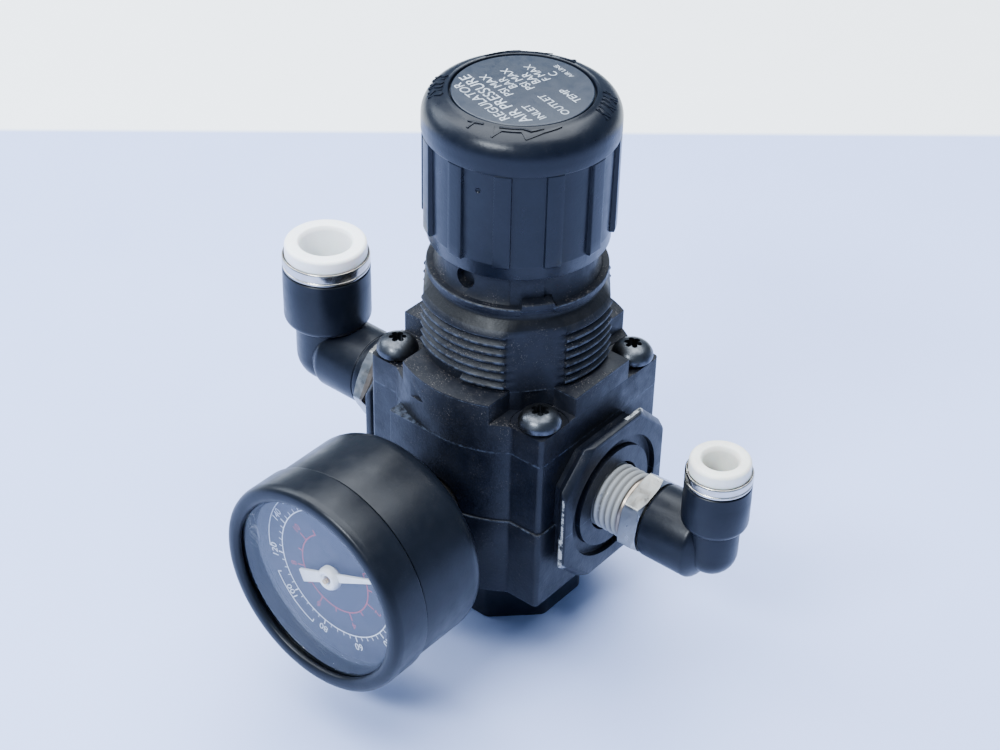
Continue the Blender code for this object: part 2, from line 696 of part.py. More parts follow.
def gauge_pointer():
    """Pointer with a round boss and a blunt tail, fixed on the pinion's shaft."""
    hand = [(0, -0.9), (13.0, -0.25), (13.4, 0), (13.0, 0.25), (0, 0.9), (-7.9, 1.3), (-7.9, -1.3)]
    pointer = prism("gauge_pointer", [turned_outline(hand, POINTER_ANGLE)], 50.4, 50.9, gauge_at(), "front")
    boss = [(0, 50.2), (2.3, 50.2), (2.4, 51.4), (1.9, 51.9), (0, 51.9)]
    cutter = rod("pointer_bore", 0.85, 49.8, 52.5, gauge_at(), "front", 12)
    join(pointer, turned("pointer_boss", boss, 14, gauge_at(), "front"))
    cut(pointer, cutter)
    return finish(pointer, POINTER_PAINT)


def pinion_outline(turn):
    pitch_r = GEAR_MODULE * PINION_TEETH / 2
    return toothed(PINION_TEETH, pitch_r - 1.15 * GEAR_MODULE, pitch_r + 0.8 * GEAR_MODULE, 0.62, 0.2, turn)


def pointer_pinion():
    """Shaft of the pointer with its pinion, between the movement's plates."""
    shaft = [(0, 41.6), (0.5, 41.6), (0.5, 52.3), (0, 52.3)]
    pinion = turned("pointer_pinion", shaft, 12, gauge_at(), "front")
    gear = pinion_outline(SECTOR_ANGLE + 180 / PINION_TEETH)
    join(pinion, prism("pinion_gear", [gear], 44.9, 46.1, gauge_at(), "front"))
    return finish(pinion, BRASS)


def sector_pivot():
    """Place of the sector's pivot on the dial side, as world coordinates in millimetres."""
    distance = GEAR_MODULE * (PINION_TEETH + SECTOR_TEETH) / 2
    turn = math.radians(SECTOR_ANGLE)
    return (distance * math.cos(turn), 0, GAUGE_Z + distance * math.sin(turn))


def sector_tail():
    """Place of the link's pin on the sector's tail."""
    x, _, z = sector_pivot()
    turn = math.radians(SECTOR_ANGLE)
    return (x + TAIL_REACH * math.cos(turn), 0, z + TAIL_REACH * math.sin(turn))


def tube_tip():
    """Place of the link's pin on the tip of the tube."""
    turn = math.radians(TUBE_END)
    return (TUBE_COIL_R * math.cos(turn), 0, GAUGE_Z + TUBE_COIL_R * math.sin(turn))


def sector_gear():
    """Toothed sector that drives the pinion, with a tail for the link."""
    pitch_r = GEAR_MODULE * SECTOR_TEETH / 2
    pitch = 360 / SECTOR_TEETH
    facing = SECTOR_ANGLE + 180
    rim = []
    for i in range(-10, 3):
        for radius, share in ((-1.15, -0.31), (0.8, -0.1), (0.8, 0.1), (-1.15, 0.31)):
            angle = math.radians(facing + (i + share) * pitch)
            reach = pitch_r + radius * GEAR_MODULE
            rim.append((reach * math.cos(angle), reach * math.sin(angle)))
    arm = arc(1.6, facing + 60, facing + 150, 3) + [(-x, -y) for x, y in arc(4.8, facing - 8, facing + 8, 2)]
    arm += arc(1.6, facing + 210, facing + 300, 3)
    bore = circle(0.75, 10)
    sector = prism("sector_gear", [rim + arm, bore], 45.0, 46.0, sector_pivot(), "front")
    join(sector, rod("sector_tail_pin", 0.4, LINK_LOW - 0.2, 45.2, sector_tail(), "front", 10))
    return finish(sector, BRASS)


def movement_plate(name, low, high, pillar_top=None):
    """One plate of the gauge movement. The rear plate carries the pillars."""
    x, _, z = sector_pivot()
    pivot = Vector((x, z - GAUGE_Z))
    along = pivot.normalized()
    side = Vector((along.y, -along.x))
    far = pivot + along * 2.6
    near = -along * 4.2
    outline = [near - side * 4.2, far - side * 4.2, far + side * 4.2, near + side * 4.2]
    holes = [circle(0.8, 10), circle(0.75, 10, pivot)]
    plate = prism(name, [outline] + holes, low, high, gauge_at(), "front")
    if pillar_top:
        places = [near + along - side * 3.1, near + along + side * 3.1, far - along + side * 3.1]
        for number, place_2d in enumerate(places, 1):
            at = (place_2d.x, 0, GAUGE_Z + place_2d.y)
            join(plate, rod(f"movement_pillar_{number}", 0.9, high - 0.2, pillar_top, at, "front", 10))
    return finish(plate, BRASS)


def sector_arbor():
    """Pin that the sector turns on, held by both plates."""
    pin = [(0, 41.6), (0.45, 41.6), (0.45, 47.9), (0, 47.9)]
    return finish(turned("sector_arbor", pin, 10, sector_pivot(), "front"), STEEL)


def bourdon_tube():
    """Tube bent to a C around the socket, with a post for the link at its closed tip."""
    count = 20
    points = [(0, 6.0, 38.6)]
    for i in range(count + 1):
        angle = math.radians(TUBE_END - TUBE_SWEEP * (1 - i / count))
        points.append((TUBE_COIL_R * math.cos(angle), TUBE_COIL_R * math.sin(angle), 38.6))
    tube = wire("bourdon_tube", points, 1.1, gauge_at(), "front", 1)
    join(tube, rod("tube_tip_post", 0.4, 38.6, LINK_HIGH, tube_tip(), "front", 10))
    return finish(tube, BRASS)


def gauge_link():
    """Bar between the tip of the tube and the tail of the sector."""
    tail = Vector(sector_tail())
    tip = Vector(tube_tip()) - tail
    turn = math.degrees(math.atan2(tip.z, tip.x))
    far = (tip.x, tip.z)
    outline = arc(1.1, turn + 90, turn + 270, 6) + arc(1.1, turn - 90, turn + 90, 6, far)
    holes = [circle(0.72, 10), circle(0.72, 10, far)]
    return finish(prism("gauge_link", [outline] + holes, LINK_LOW, LINK_HIGH, tail, "front"), BRASS)


def hairspring():
    """Flat spiral that takes up the backlash of the pinion."""
    turns = 4
    count = turns * 12
    points = []
    for i in range(count + 1):
        angle = 2 * math.pi * i / 12
        radius = 1.0 + 2.2 * i / count
        points.append((radius * math.cos(angle), radius * math.sin(angle), 46.7))
    return finish(wire("hairspring", points, 0.1, gauge_at(), "front", 0), BRASS)


# ---------------------------------------------------------------- push-in elbows


@dataclass
class Fitting:
    """Sizes of one push-in elbow. Distances out from the main axis are called reach."""

    name: str
    side: str
    tube_r: float
    hex_flats: float
    hex_turn: float
    hex_start: float
    hex_end: float
    barrel_r: float
    barrel_start: float
    barrel_end: float
    barrel_bore: float
    leg_reach: float
    leg_r: float
    leg_low: float
    socket_r: float
    socket_low: float
    socket_top: float
    seat_r: float
    ring_r: float
    ring_top: float
    collar_top: float
    travel: float

    def axis(self):
        return (0, 0, PORT_Z)

    def leg(self):
        return (self.leg_reach if self.side == "right" else -self.leg_reach, 0, 0)

    def spigot_end(self):
        return self.barrel_end - 3.6

    def seal_low(self):
        return self.socket_low + 4.0

    def flange_low(self):
        return self.collar_top - 0.3


INLET = Fitting(
    name="inlet", side="left", tube_r=5.0, hex_flats=17.0, hex_turn=90.0, hex_start=29.9, hex_end=33.1,
    barrel_r=7.7, barrel_start=33.4, barrel_end=45.2, barrel_bore=6.2,
    leg_reach=48.4, leg_r=6.6, leg_low=25.6,
    socket_r=8.85, socket_low=40.3, socket_top=52.5, seat_r=7.4,
    ring_r=8.25, ring_top=58.1, collar_top=55.4, travel=0.8,
)
OUTLET = Fitting(
    name="outlet", side="right", tube_r=3.0, hex_flats=14.0, hex_turn=48.5, hex_start=30.8, hex_end=34.7,
    barrel_r=7.2, barrel_start=35.0, barrel_end=44.8, barrel_bore=5.4,
    leg_reach=46.8, leg_r=4.8, leg_low=28.1,
    socket_r=6.15, socket_low=39.2, socket_top=48.6, seat_r=5.2,
    ring_r=5.62, ring_top=53.6, collar_top=51.1, travel=0.9,
)


def fitting_stem(f):
    """Plated stem: tapered thread, relief, hexagon and the spigot that the elbow turns on."""
    bore = f.tube_r - 1.0
    spigot_r = f.barrel_bore - GAP
    groove_r = spigot_r - 1.1
    end = f.spigot_end()
    outer = [(bore, 17.4), (THREAD_ROOT, 17.4)] + ridges(THREAD_ROOT, THREAD_R, 21.9, THREAD_PITCH, 5)
    outer += [(THREAD_ROOT - 0.2, f.hex_start + 0.3), (spigot_r, f.hex_start + 1.1)]
    outer += [(spigot_r, f.hex_end + 1.4)]
    outer += [(groove_r, f.hex_end + 1.4), (groove_r, f.hex_end + 3.6), (spigot_r, f.hex_end + 3.6)]
    outer += [(spigot_r, end - 0.5), (spigot_r - 0.5, end), (bore, end)]
    stem = turned(f.name + "_stem", outer, 14, f.axis(), f.side)
    outline = [hexagon(f.hex_flats, f.hex_turn), circle(bore + 0.4, 16)]
    join(stem, prism(f.name + "_hexagon", outline, f.hex_start, f.hex_end, f.axis(), f.side))
    return finish(stem, NICKEL)


def swivel_o_ring(f):
    groove_r = f.barrel_bore - GAP - 1.1
    wire_r = (f.barrel_bore - groove_r) / 2 - GAP
    middle = (f.barrel_bore + groove_r) / 2
    section = [(middle + r, f.hex_end + 2.5 + z) for r, z in circle(wire_r, 6)]
    return finish(turned(f.name + "_swivel_o_ring", section, 14, f.axis(), f.side), RUBBER)


def elbow(f):
    """Moulded elbow: a barrel on the stem, a leg with a rounded foot and the tube socket."""
    barrel = [(0, f.barrel_start), (f.barrel_r - 0.3, f.barrel_start), (f.barrel_r, f.barrel_start + 0.3)]
    barrel += [(f.barrel_r, f.barrel_end), (f.leg_r * 0.8, f.leg_reach + 0.3), (0, f.leg_reach + 0.3)]
    body = turned(f.name + "_elbow", barrel, 20, f.axis(), f.side)
    foot = [(r, f.leg_low + f.leg_r + z) for r, z in arc(f.leg_r, -90, 0, 4)]
    foot[0] = (0, f.leg_low)
    leg = foot + [(f.leg_r, f.socket_low - 0.6), (f.socket_r - 0.8, f.socket_low)]
    leg += [(f.socket_r, f.socket_low + 0.9), (f.socket_r, f.socket_top), (0, f.socket_top)]
    join(body, turned(f.name + "_leg", leg, 20, f.leg()))
    across = f.tube_r - 0.9
    barrel_cut = [(0, f.barrel_start - 1), (f.barrel_bore, f.barrel_start - 1)]
    barrel_cut += [(f.barrel_bore, f.barrel_end - 3.2), (across, f.barrel_end - 3.2)]
    barrel_cut += [(across, f.leg_reach), (0, f.leg_reach)]
    stop = f.seal_low() - 3.0
    leg_cut = [(0, PORT_Z - 0.5), (across, PORT_Z - 0.5), (across, stop), (f.tube_r + 0.15, stop)]
    leg_cut += [(f.tube_r + 0.15, f.seal_low() - GAP), (f.seat_r, f.seal_low() - GAP)]
    leg_cut += [(f.seat_r, f.socket_top + 1), (0, f.socket_top + 1)]
    cut(body, turned(f.name + "_barrel_bore", barrel_cut, STEPS_SMALL, f.axis(), f.side))
    cut(body, turned(f.name + "_leg_bore", leg_cut, STEPS_SMALL, f.leg()))
    return finish(body, BLACK_FITTING)


def tube_seal(f):
    low = f.seal_low()
    lip = [(f.tube_r, low + 1.0), (f.tube_r + 0.5, low + 0.4), (f.tube_r + 0.7, low), (f.seat_r - GAP, low)]
    lip += [(f.seat_r - GAP, low + 2.2), (f.tube_r + 0.5, low + 2.2), (f.tube_r, low + 1.6)]
    return finish(turned(f.name + "_tube_seal", lip, 16, f.leg()), RUBBER)


def lock_claw(f):
    """Spring steel ring whose inner teeth grip the tube."""
    low = f.seal_low() + 2.6
    teeth = toothed(8, f.tube_r + 1.1, f.tube_r, 0.7, 0.5)
    ring = prism(f.name + "_lock_claw", [circle(f.seat_r - GAP, 24), teeth[::-1]], low, low + 0.4, f.leg())
    return finish(ring, STEEL)


def guide_ring(f):
    """Metal ring pressed into the socket's mouth. The release ring slides in it."""
    inner = f.tube_r + 1.45
    outer = f.seat_r - GAP
    low = f.seal_low() + 3.4
    collar_r = f.ring_r + 0.52
    recess_r = f.ring_r + 0.2
    recess_low = f.flange_low() - f.travel - 0.1
    section = [(inner, low), (outer, low), (outer, f.socket_top + GAP), (collar_r, f.socket_top + GAP)]
    section += [(collar_r, f.collar_top - 0.3), (collar_r - 0.1, f.collar_top), (recess_r, f.collar_top)]
    section += [(recess_r, recess_low), (inner, recess_low)]
    return finish(turned(f.name + "_guide_ring", section, 24, f.leg()), NICKEL)


def release_ring(f):
    """Plastic ring that is pressed down to free the tube."""
    bore = f.tube_r + 0.12
    sleeve = f.tube_r + 1.1
    low = f.seal_low() + 3.1 + f.travel + 0.2
    section = [(bore, low), (sleeve - 0.3, low), (sleeve, low + 0.6), (sleeve, f.flange_low())]
    section += [(f.ring_r - 0.2, f.flange_low()), (f.ring_r, f.flange_low() + 0.3)]
    section += [(f.ring_r - 0.1, f.ring_top - 0.5), (f.ring_r - 0.6, f.ring_top)]
    section += [(bore + 0.25, f.ring_top), (bore, f.ring_top - 0.4)]
    return finish(turned(f.name + "_release_ring", section, 24, f.leg()), WHITE_PLASTIC)


def push_in_elbow(f):
    fitting_stem(f)
    swivel_o_ring(f)
    body = elbow(f)
    for make in (tube_seal, lock_claw, guide_ring, release_ring):
        carry(make(f), body)


# ---------------------------------------------------------------- assembly


def build():
    for make in (body_casting, bottom_plug, plug_o_ring, valve_seat, rear_plug, bonnet, diaphragm):
        make()
    for number, (x, y) in enumerate(screw_places(), 1):
        bonnet_screw(number, x, y)
    for make in (adjusting_screw, snap_ring, knob, knob_label, spring_rest, thrust_washer, range_spring):
        make()
    for make in (diaphragm_plate, diaphragm_seat, valve_stem, valve_disc, valve_spring):
        make()
    for make in (gauge_socket, gauge_case, gauge_bezel, gauge_lens, gauge_dial, gauge_pointer):
        make()
    for make in (pointer_pinion, sector_gear, sector_arbor, gauge_link, hairspring, bourdon_tube):
        make()
    movement_plate("movement_rear_plate", 41.5, 42.3, 47.0)
    movement_plate("movement_front_plate", 47.3, 48.1)
    for fitting in (INLET, OUTLET):
        push_in_elbow(fitting)


build()
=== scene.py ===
"""Air pressure regulator: the visible pieces, materials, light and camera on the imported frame.

Sizes in the calls below are millimetres in the CAD's own frame: +Z up, +X outlet, -X inlet, -Y gauge.
"""
import json
import math
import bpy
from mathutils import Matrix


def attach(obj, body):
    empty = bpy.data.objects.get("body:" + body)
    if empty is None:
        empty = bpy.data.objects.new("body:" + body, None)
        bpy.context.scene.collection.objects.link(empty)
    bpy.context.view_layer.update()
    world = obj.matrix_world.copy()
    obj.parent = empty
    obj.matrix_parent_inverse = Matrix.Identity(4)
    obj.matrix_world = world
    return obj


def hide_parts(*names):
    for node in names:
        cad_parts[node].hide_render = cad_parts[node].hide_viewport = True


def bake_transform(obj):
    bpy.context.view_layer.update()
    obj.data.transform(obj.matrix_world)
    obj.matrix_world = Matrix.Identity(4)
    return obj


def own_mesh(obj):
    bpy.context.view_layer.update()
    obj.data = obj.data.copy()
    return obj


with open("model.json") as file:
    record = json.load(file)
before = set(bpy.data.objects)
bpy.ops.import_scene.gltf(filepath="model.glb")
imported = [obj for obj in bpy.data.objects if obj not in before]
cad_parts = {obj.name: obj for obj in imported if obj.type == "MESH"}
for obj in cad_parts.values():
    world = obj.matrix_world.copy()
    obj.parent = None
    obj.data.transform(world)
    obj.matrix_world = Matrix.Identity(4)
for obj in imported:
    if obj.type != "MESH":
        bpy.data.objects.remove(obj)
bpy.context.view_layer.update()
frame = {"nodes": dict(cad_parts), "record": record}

from types import SimpleNamespace

import bmesh
import bpy
from mathutils import Matrix, Vector

MM = 0.001
PORT_Z = 33.0
GAUGE_Z = 32.3
STEP_Z = 32
JOINT_Z = 47.6
BODY_HALF_X = 20.5
BODY_HALF_Y = 17.5
BODY_BULGE_R = 22.3
NECK_R = 17.3
KNOB_R = 17.5
KNOB_RIBS = 12
SHOULDER_R = 4.4
SHOULDER_AT = (13.1, 104.9)
DIAL_FACE = 49.5
BOX_FACES = ((3, 2, 1, 0), (4, 5, 6, 7), (0, 1, 5, 4), (1, 2, 6, 5), (2, 3, 7, 6), (3, 0, 4, 7))
FACING = {
    "up": Matrix.Identity(3),
    "right": Matrix.Rotation(math.radians(90), 3, "Y"),
    "left": Matrix.Rotation(math.radians(-90), 3, "Y"),
    "front": Matrix.Rotation(math.radians(90), 3, "X"),
    "back": Matrix.Rotation(math.radians(-90), 3, "X"),
}


# ---------------------------------------------------------------- mesh helpers


def make(name, work, at=(0, 0, 0), facing="up"):
    """An object from a bmesh drawn in millimetres along its own +Z, placed in the CAD's frame."""
    bmesh.ops.remove_doubles(work, verts=work.verts, dist=0.0005)
    bmesh.ops.recalc_face_normals(work, faces=work.faces)
    turn = Matrix.Translation(Vector(at) * MM) @ FACING[facing].to_4x4() @ Matrix.Scale(MM, 4)
    bmesh.ops.transform(work, matrix=turn, verts=work.verts)
    mesh = bpy.data.meshes.new(name)
    work.to_mesh(mesh)
    work.free()
    obj = bpy.data.objects.new(name, mesh)
    bpy.context.scene.collection.objects.link(obj)
    return obj


def rounded(loop, radius, count=3):
    """A closed outline with its corners rounded. A third value in a point is its own radius."""
    out = []
    for i, p in enumerate(loop):
        own = p[2] if len(p) > 2 else radius
        here = Vector(p[:2])
        back = Vector(loop[i - 1][:2]) - here
        ahead = Vector(loop[(i + 1) % len(loop)][:2]) - here
        reach = min(own, back.length * 0.45, ahead.length * 0.45)
        if reach < 0.01:
            out.append(here)
            continue
        start = here + back.normalized() * reach
        end = here + ahead.normalized() * reach
        for k in range(count + 1):
            t = k / count
            out.append(start * (1 - t) ** 2 + here * 2 * t * (1 - t) + end * t * t)
    return [(p.x, p.y) for p in out]


def skin(name, rings, angles, at=(0, 0, 0), facing="up"):
    """A closed surface of rings about +Z. A ring is (radius, height), or gives it for an azimuth."""
    work = bmesh.new()
    rows = []
    for ring in rings:
        places = [ring(a) if callable(ring) else ring for a in angles]
        if max(r for r, _ in places) < 1e-6:
            rows.append([work.verts.new((0, 0, places[0][1]))])
        else:
            turned = zip(angles, places)
            rows.append([work.verts.new((*polar(r, a), z)) for a, (r, z) in turned])
    for low, high in zip(rows, rows[1:] + rows[:1]):
        for i in range(len(angles)):
            j = (i + 1) % len(angles)
            corners = [low[i % len(low)], low[j % len(low)], high[j % len(high)], high[i % len(high)]]
            corners = list(dict.fromkeys(corners))
            if len(corners) > 2:
                work.faces.new(corners)
    return make(name, work, at, facing)


def lathe(name, profile, radius=0.25, steps=96, at=(0, 0, 0), facing="up"):
    """A (radius, height) profile turned about +Z, with its corners rounded."""
    fixed = [p if p[0] > 1e-6 else (0, p[1], 0) for p in profile]
    return skin(name, rounded(fixed, radius), [360 * i / steps for i in range(steps)], at, facing)


def prism(name, outline, low, high, radius=0.0, at=(0, 0, 0), facing="up", holes=()):
    """A plate of one outline, with holes cut through it."""
    curve = bpy.data.curves.new(name, "CURVE")
    curve.dimensions = "2D"
    curve.fill_mode = "BOTH"
    curve.extrude = (high - low) / 2
    loops = [rounded(outline, radius) if radius else outline] + list(holes)
    for loop in loops:
        spline = curve.splines.new("POLY")
        spline.points.add(len(loop) - 1)
        spline.use_cyclic_u = True
        for point, p in zip(spline.points, loop):
            point.co = (p[0], p[1], 0, 1)
    return from_curve(name, curve, (0, 0, (low + high) / 2), at, facing)


def loft(name, sections, radius, at=(0, 0, 0), facing="up"):
    """A closed surface through outlines of equal point counts, each given with its height."""
    work = bmesh.new()
    rows = [[work.verts.new((x, y, z)) for x, y in rounded(loop, radius)] for z, loop in sections]
    for low, high in zip(rows, rows[1:]):
        for i in range(len(low)):
            j = (i + 1) % len(low)
            work.faces.new((low[i], low[j], high[j], high[i]))
    work.faces.new(rows[0][::-1])
    work.faces.new(rows[-1])
    return make(name, work, at, facing)


def sweep(work, section, azimuths):
    """A closed strip: one (radius, height) section at each of the azimuths, capped at both ends."""
    rows = [[work.verts.new((*polar(r, a), z)) for r, z in section] for a in azimuths]
    for a, b in zip(rows, rows[1:]):
        for i in range(len(section)):
            j = (i + 1) % len(section)
            work.faces.new((a[i], a[j], b[j], b[i]))
    work.faces.new(rows[0])
    work.faces.new(rows[-1][::-1])


def wire(name, radius, resolution, points, at=(0, 0, 0), facing="up"):
    """A round wire through points."""
    curve = bpy.data.curves.new(name, "CURVE")
    curve.dimensions = "3D"
    curve.bevel_depth = radius
    curve.bevel_resolution = resolution
    curve.use_fill_caps = True
    spline = curve.splines.new("POLY")
    spline.points.add(len(points) - 1)
    for point, place in zip(spline.points, points):
        point.co = (*place, 1)
    return from_curve(name, curve, (0, 0, 0), at, facing)


def from_curve(name, curve, move, at=(0, 0, 0), facing="up"):
    """A mesh made from a curve or a text, which is then removed."""
    guide = bpy.data.objects.new(name + "_guide", curve)
    bpy.context.scene.collection.objects.link(guide)
    bpy.context.view_layer.update()
    mesh = bpy.data.meshes.new_from_object(guide.evaluated_get(bpy.context.evaluated_depsgraph_get()))
    bpy.data.objects.remove(guide)
    work = bmesh.new()
    work.from_mesh(mesh)
    bpy.data.meshes.remove(mesh)
    bmesh.ops.remove_doubles(work, verts=work.verts, dist=0.0005)
    bmesh.ops.dissolve_limit(work, angle_limit=math.radians(0.5), verts=work.verts, edges=work.edges)
    bmesh.ops.translate(work, verts=work.verts, vec=move)
    return make(name, work, at, facing)


def box(name, size, centre, turn=0.0, facing="up"):
    """A block, turned about its own +Z."""
    work = bmesh.new()
    bmesh.ops.create_cube(work, size=1.0)
    bmesh.ops.scale(work, verts=work.verts, vec=size)
    bmesh.ops.rotate(
        work, verts=work.verts, cent=(0, 0, 0), matrix=Matrix.Rotation(math.radians(turn), 3, "Z"),
    )
    return make(name, work, centre, facing)


def settle(obj):
    """Applies an object's modifiers."""
    bpy.context.view_layer.update()
    mesh = bpy.data.meshes.new_from_object(obj.evaluated_get(bpy.context.evaluated_depsgraph_get()))
    obj.modifiers.clear()
    old = obj.data
    obj.data = mesh
    bpy.data.meshes.remove(old)
    return obj


def combine(base, add=(), cut=()):
    """Joins and cuts with exact Booleans, and removes the tools."""
    for operation, tools in (("UNION", add), ("DIFFERENCE", cut)):
        for tool in tools:
            step = base.modifiers.new(tool.name, "BOOLEAN")
            step.operation = operation
            step.object = tool
            step.solver = "EXACT"
            weld = base.modifiers.new("weld", "WELD")
            weld.merge_threshold = 0.000002
    settle(base)
    for tool in (*add, *cut):
        bpy.data.objects.remove(tool)
    return base


def bevelled(obj, width, angle=50, segments=2):
    """Rounds the sharp edges of a finished mesh."""
    step = obj.modifiers.new("edges", "BEVEL")
    step.width = width * MM
    step.segments = segments
    step.limit_method = "ANGLE"
    step.angle_limit = math.radians(angle)
    step.miter_outer = "MITER_ARC"
    return settle(obj)


def shaded(obj, sharp=40):
    obj.data.shade_smooth()
    obj.data.set_sharp_from_angle(angle=math.radians(sharp))
    return obj


def piece(obj, look, body, slot, *nodes, sharp=40):
    """Finishes a visible piece: its material, its body and the CAD nodes that it stands for; the slot
    argument is not used.
    A piece called without a body is left unattached."""
    obj.data.materials.clear()
    obj.data.materials.append(look)
    shaded(obj, sharp)
    if body:
        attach(obj, body)
    if nodes:
        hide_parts(*nodes)
    return obj


def polar(radius, azimuth):
    """A place at an azimuth in degrees."""
    turn = math.radians(azimuth)
    return radius * math.cos(turn), radius * math.sin(turn)


def arc(radius, start, end, count, centre=(0, 0)):
    angles = [math.radians(start + (end - start) * i / count) for i in range(count + 1)]
    return [(centre[0] + radius * math.cos(a), centre[1] + radius * math.sin(a)) for a in angles]


def circle(radius, count=64, centre=(0, 0)):
    return arc(radius, 0, 360, count, centre)[:-1]


def hexagon(across_flats, turn=0.0):
    return arc(across_flats / math.sqrt(3), turn, turn + 360, 6)[:-1]


def octagon(half_x, half_y, corner):
    """A rectangle with its corners cut off."""
    quarter = [(half_x, half_y - corner), (half_x - corner, half_y)]
    top = quarter + [(-x, y) for x, y in reversed(quarter)]
    return top + [(-x, -y) for x, y in top]


def azimuths(step, *edges):
    """Even columns, with a close pair of columns at each sharp edge."""
    count = round(360 / step)
    found = [360 * i / count for i in range(count)]
    for edge in edges:
        edge %= 360
        found = [a for a in found if abs((a - edge + 180) % 360 - 180) > 0.4 * step]
        found += [(edge - 0.12) % 360, (edge + 0.12) % 360]
    return sorted(set(found))


def apart(a, b):
    """The signed difference between two azimuths."""
    return (a - b + 180) % 360 - 180


# ---------------------------------------------------------------- materials


class Look:
    """A node material around one Principled shader."""

    def __init__(self, name, **sockets):
        self.material = bpy.data.materials.new(name)
        self.material.use_nodes = True
        self.tree = self.material.node_tree
        self.shader = self.tree.nodes["Principled BSDF"]
        for socket, value in sockets.items():
            self.shader.inputs[socket.replace("_", " ")].default_value = value
        self.place = self.tree.nodes.new("ShaderNodeTexCoord").outputs["Object"]

    def node(self, kind, **inputs):
        node = self.tree.nodes.new("ShaderNode" + kind)
        for name, value in inputs.items():
            socket = node.inputs[int(name[1:])] if name[1:].isdigit() else node.inputs[name.replace("_", " ")]
            self.feed(socket, value)
        return node

    def feed(self, socket, value):
        if isinstance(value, bpy.types.NodeSocket):
            self.tree.links.new(value, socket)
        else:
            socket.default_value = value

    def noise(self, scale, detail=3.0, roughness=0.5, stretch=None):
        place = self.place
        if stretch:
            mapping = self.node("Mapping", Vector=place)
            mapping.inputs["Scale"].default_value = stretch
            place = mapping.outputs["Vector"]
        return self.node(
            "TexNoise", Vector=place, Scale=scale, Detail=detail, Roughness=roughness,
        ).outputs["Fac"]

    def ramp(self, value, low, high, to_low=0.0, to_high=1.0):
        node = self.node("MapRange", Value=value)
        for name, number in (("From Min", low), ("From Max", high), ("To Min", to_low), ("To Max", to_high)):
            node.inputs[name].default_value = number
        return node.outputs["Result"]

    def math(self, operation, a, b=0.0):
        node = self.node("Math", _0=a, _1=b)
        node.operation = operation
        return node.outputs[0]

    def times(self, a, b):
        return self.math("MULTIPLY", a, b)

    def plus(self, a, b):
        return self.math("ADD", a, b)

    def between(self, value, low, high):
        """1 where a length lies between two values in millimetres, and 0 elsewhere."""
        above = self.math("GREATER_THAN", value, low * MM)
        return self.times(above, self.math("LESS_THAN", value, high * MM))

    def painted(self):
        """What the base colour is fed from."""
        return self.shader.inputs["Base Color"].links[0].from_socket

    def mix(self, share, a, b):
        node = self.tree.nodes.new("ShaderNodeMix")
        node.data_type = "RGBA"
        self.feed(node.inputs["Factor"], share)
        self.feed(node.inputs["A"], a)
        self.feed(node.inputs["B"], b)
        return node.outputs["Result"]

    def axis(self, name, of=None):
        source = of or self.place
        return self.node("SeparateXYZ", Vector=source).outputs[name]

    def up(self):
        geometry = self.tree.nodes.new("ShaderNodeNewGeometry")
        return self.axis("Z", geometry.outputs["Normal"])

    def colour(self, value):
        self.feed(self.shader.inputs["Base Color"], value)

    def rough(self, value):
        self.feed(self.shader.inputs["Roughness"], value)

    def bump(self, height, strength, distance=0.0001):
        node = self.node("Bump", Height=height)
        node.inputs["Strength"].default_value = strength
        node.inputs["Distance"].default_value = distance
        self.tree.links.new(node.outputs["Normal"], self.shader.inputs["Normal"])


def rgb(r, g, b):
    return (r, g, b, 1.0)


def black_look(name, base, lighter, rough_low, rough_high, grain, dust):
    """Dark moulded or cast finish, with faint mottling, a fine grain and dust on what faces up."""
    look = Look(name, Specular_IOR_Level=0.23)
    mottle = look.noise(160, 5, 0.6)
    tone = look.mix(look.ramp(mottle, 0.35, 0.7), rgb(*base), rgb(*lighter))
    specks = look.ramp(look.noise(3600, 2, 0.7), 0.60, 0.68)
    patches = look.ramp(look.noise(210, 4, 0.65), 0.46, 0.7)
    level = look.ramp(look.up(), -0.35, 0.9, 0.12, 1.0)
    amount = look.times(look.times(specks, patches), level)
    film = look.times(look.ramp(look.noise(330, 6, 0.7), 0.5, 0.8), level)
    dusty = look.times(look.plus(amount, look.times(film, 0.05)), dust)
    look.colour(look.mix(dusty, tone, rgb(0.24, 0.21, 0.19)))
    look.rough(
        look.plus(look.ramp(look.noise(420, 4), 0.3, 0.75, rough_low, rough_high), look.times(dusty, 0.35))
    )
    look.bump(look.plus(look.noise(1500, 3, 0.6), look.times(amount, 0.6)), grain, 0.00012)
    return look


def rubbed(look, heights, crest=None):
    """Painted highlight: paint made lighter and bluer along the edges at some heights, and on thread crests
    outside a radius, where these catch the light.
    """
    up = look.axis("Z")
    total = None
    for height, half in heights:
        off = look.math("ABSOLUTE", look.math("SUBTRACT", up, height * MM))
        near = look.math("LESS_THAN", off, half * MM)
        total = near if total is None else look.math("MAXIMUM", total, near)
    if crest:
        radius, low, high = crest
        x, y = look.axis("X"), look.axis("Y")
        reach = look.math("SQRT", look.plus(look.times(x, x), look.times(y, y)))
        outside = look.times(look.math("GREATER_THAN", reach, radius * MM), look.between(up, low, high))
        total = look.math("MAXIMUM", total, outside)
    ragged = look.ramp(look.noise(900, 5, 0.7), 0.42, 0.62)
    share = look.times(look.times(total, ragged), 0.4)
    painted = look.painted()
    # Painted highlight mixed into the paint.
    look.colour(look.mix(share, painted, rgb(0.085, 0.105, 0.15)))
    return look


def grimy(look, bands):
    """Painted shade that darkens recesses between two heights."""
    painted = look.painted()
    for low, high in bands:
        inside = look.between(look.axis("Z"), low, high)
        # Painted shade: near-black mixed in over the band.
        painted = look.mix(look.times(inside, 0.8), painted, rgb(0.0012, 0.0012, 0.0014))
    look.colour(painted)
    return look


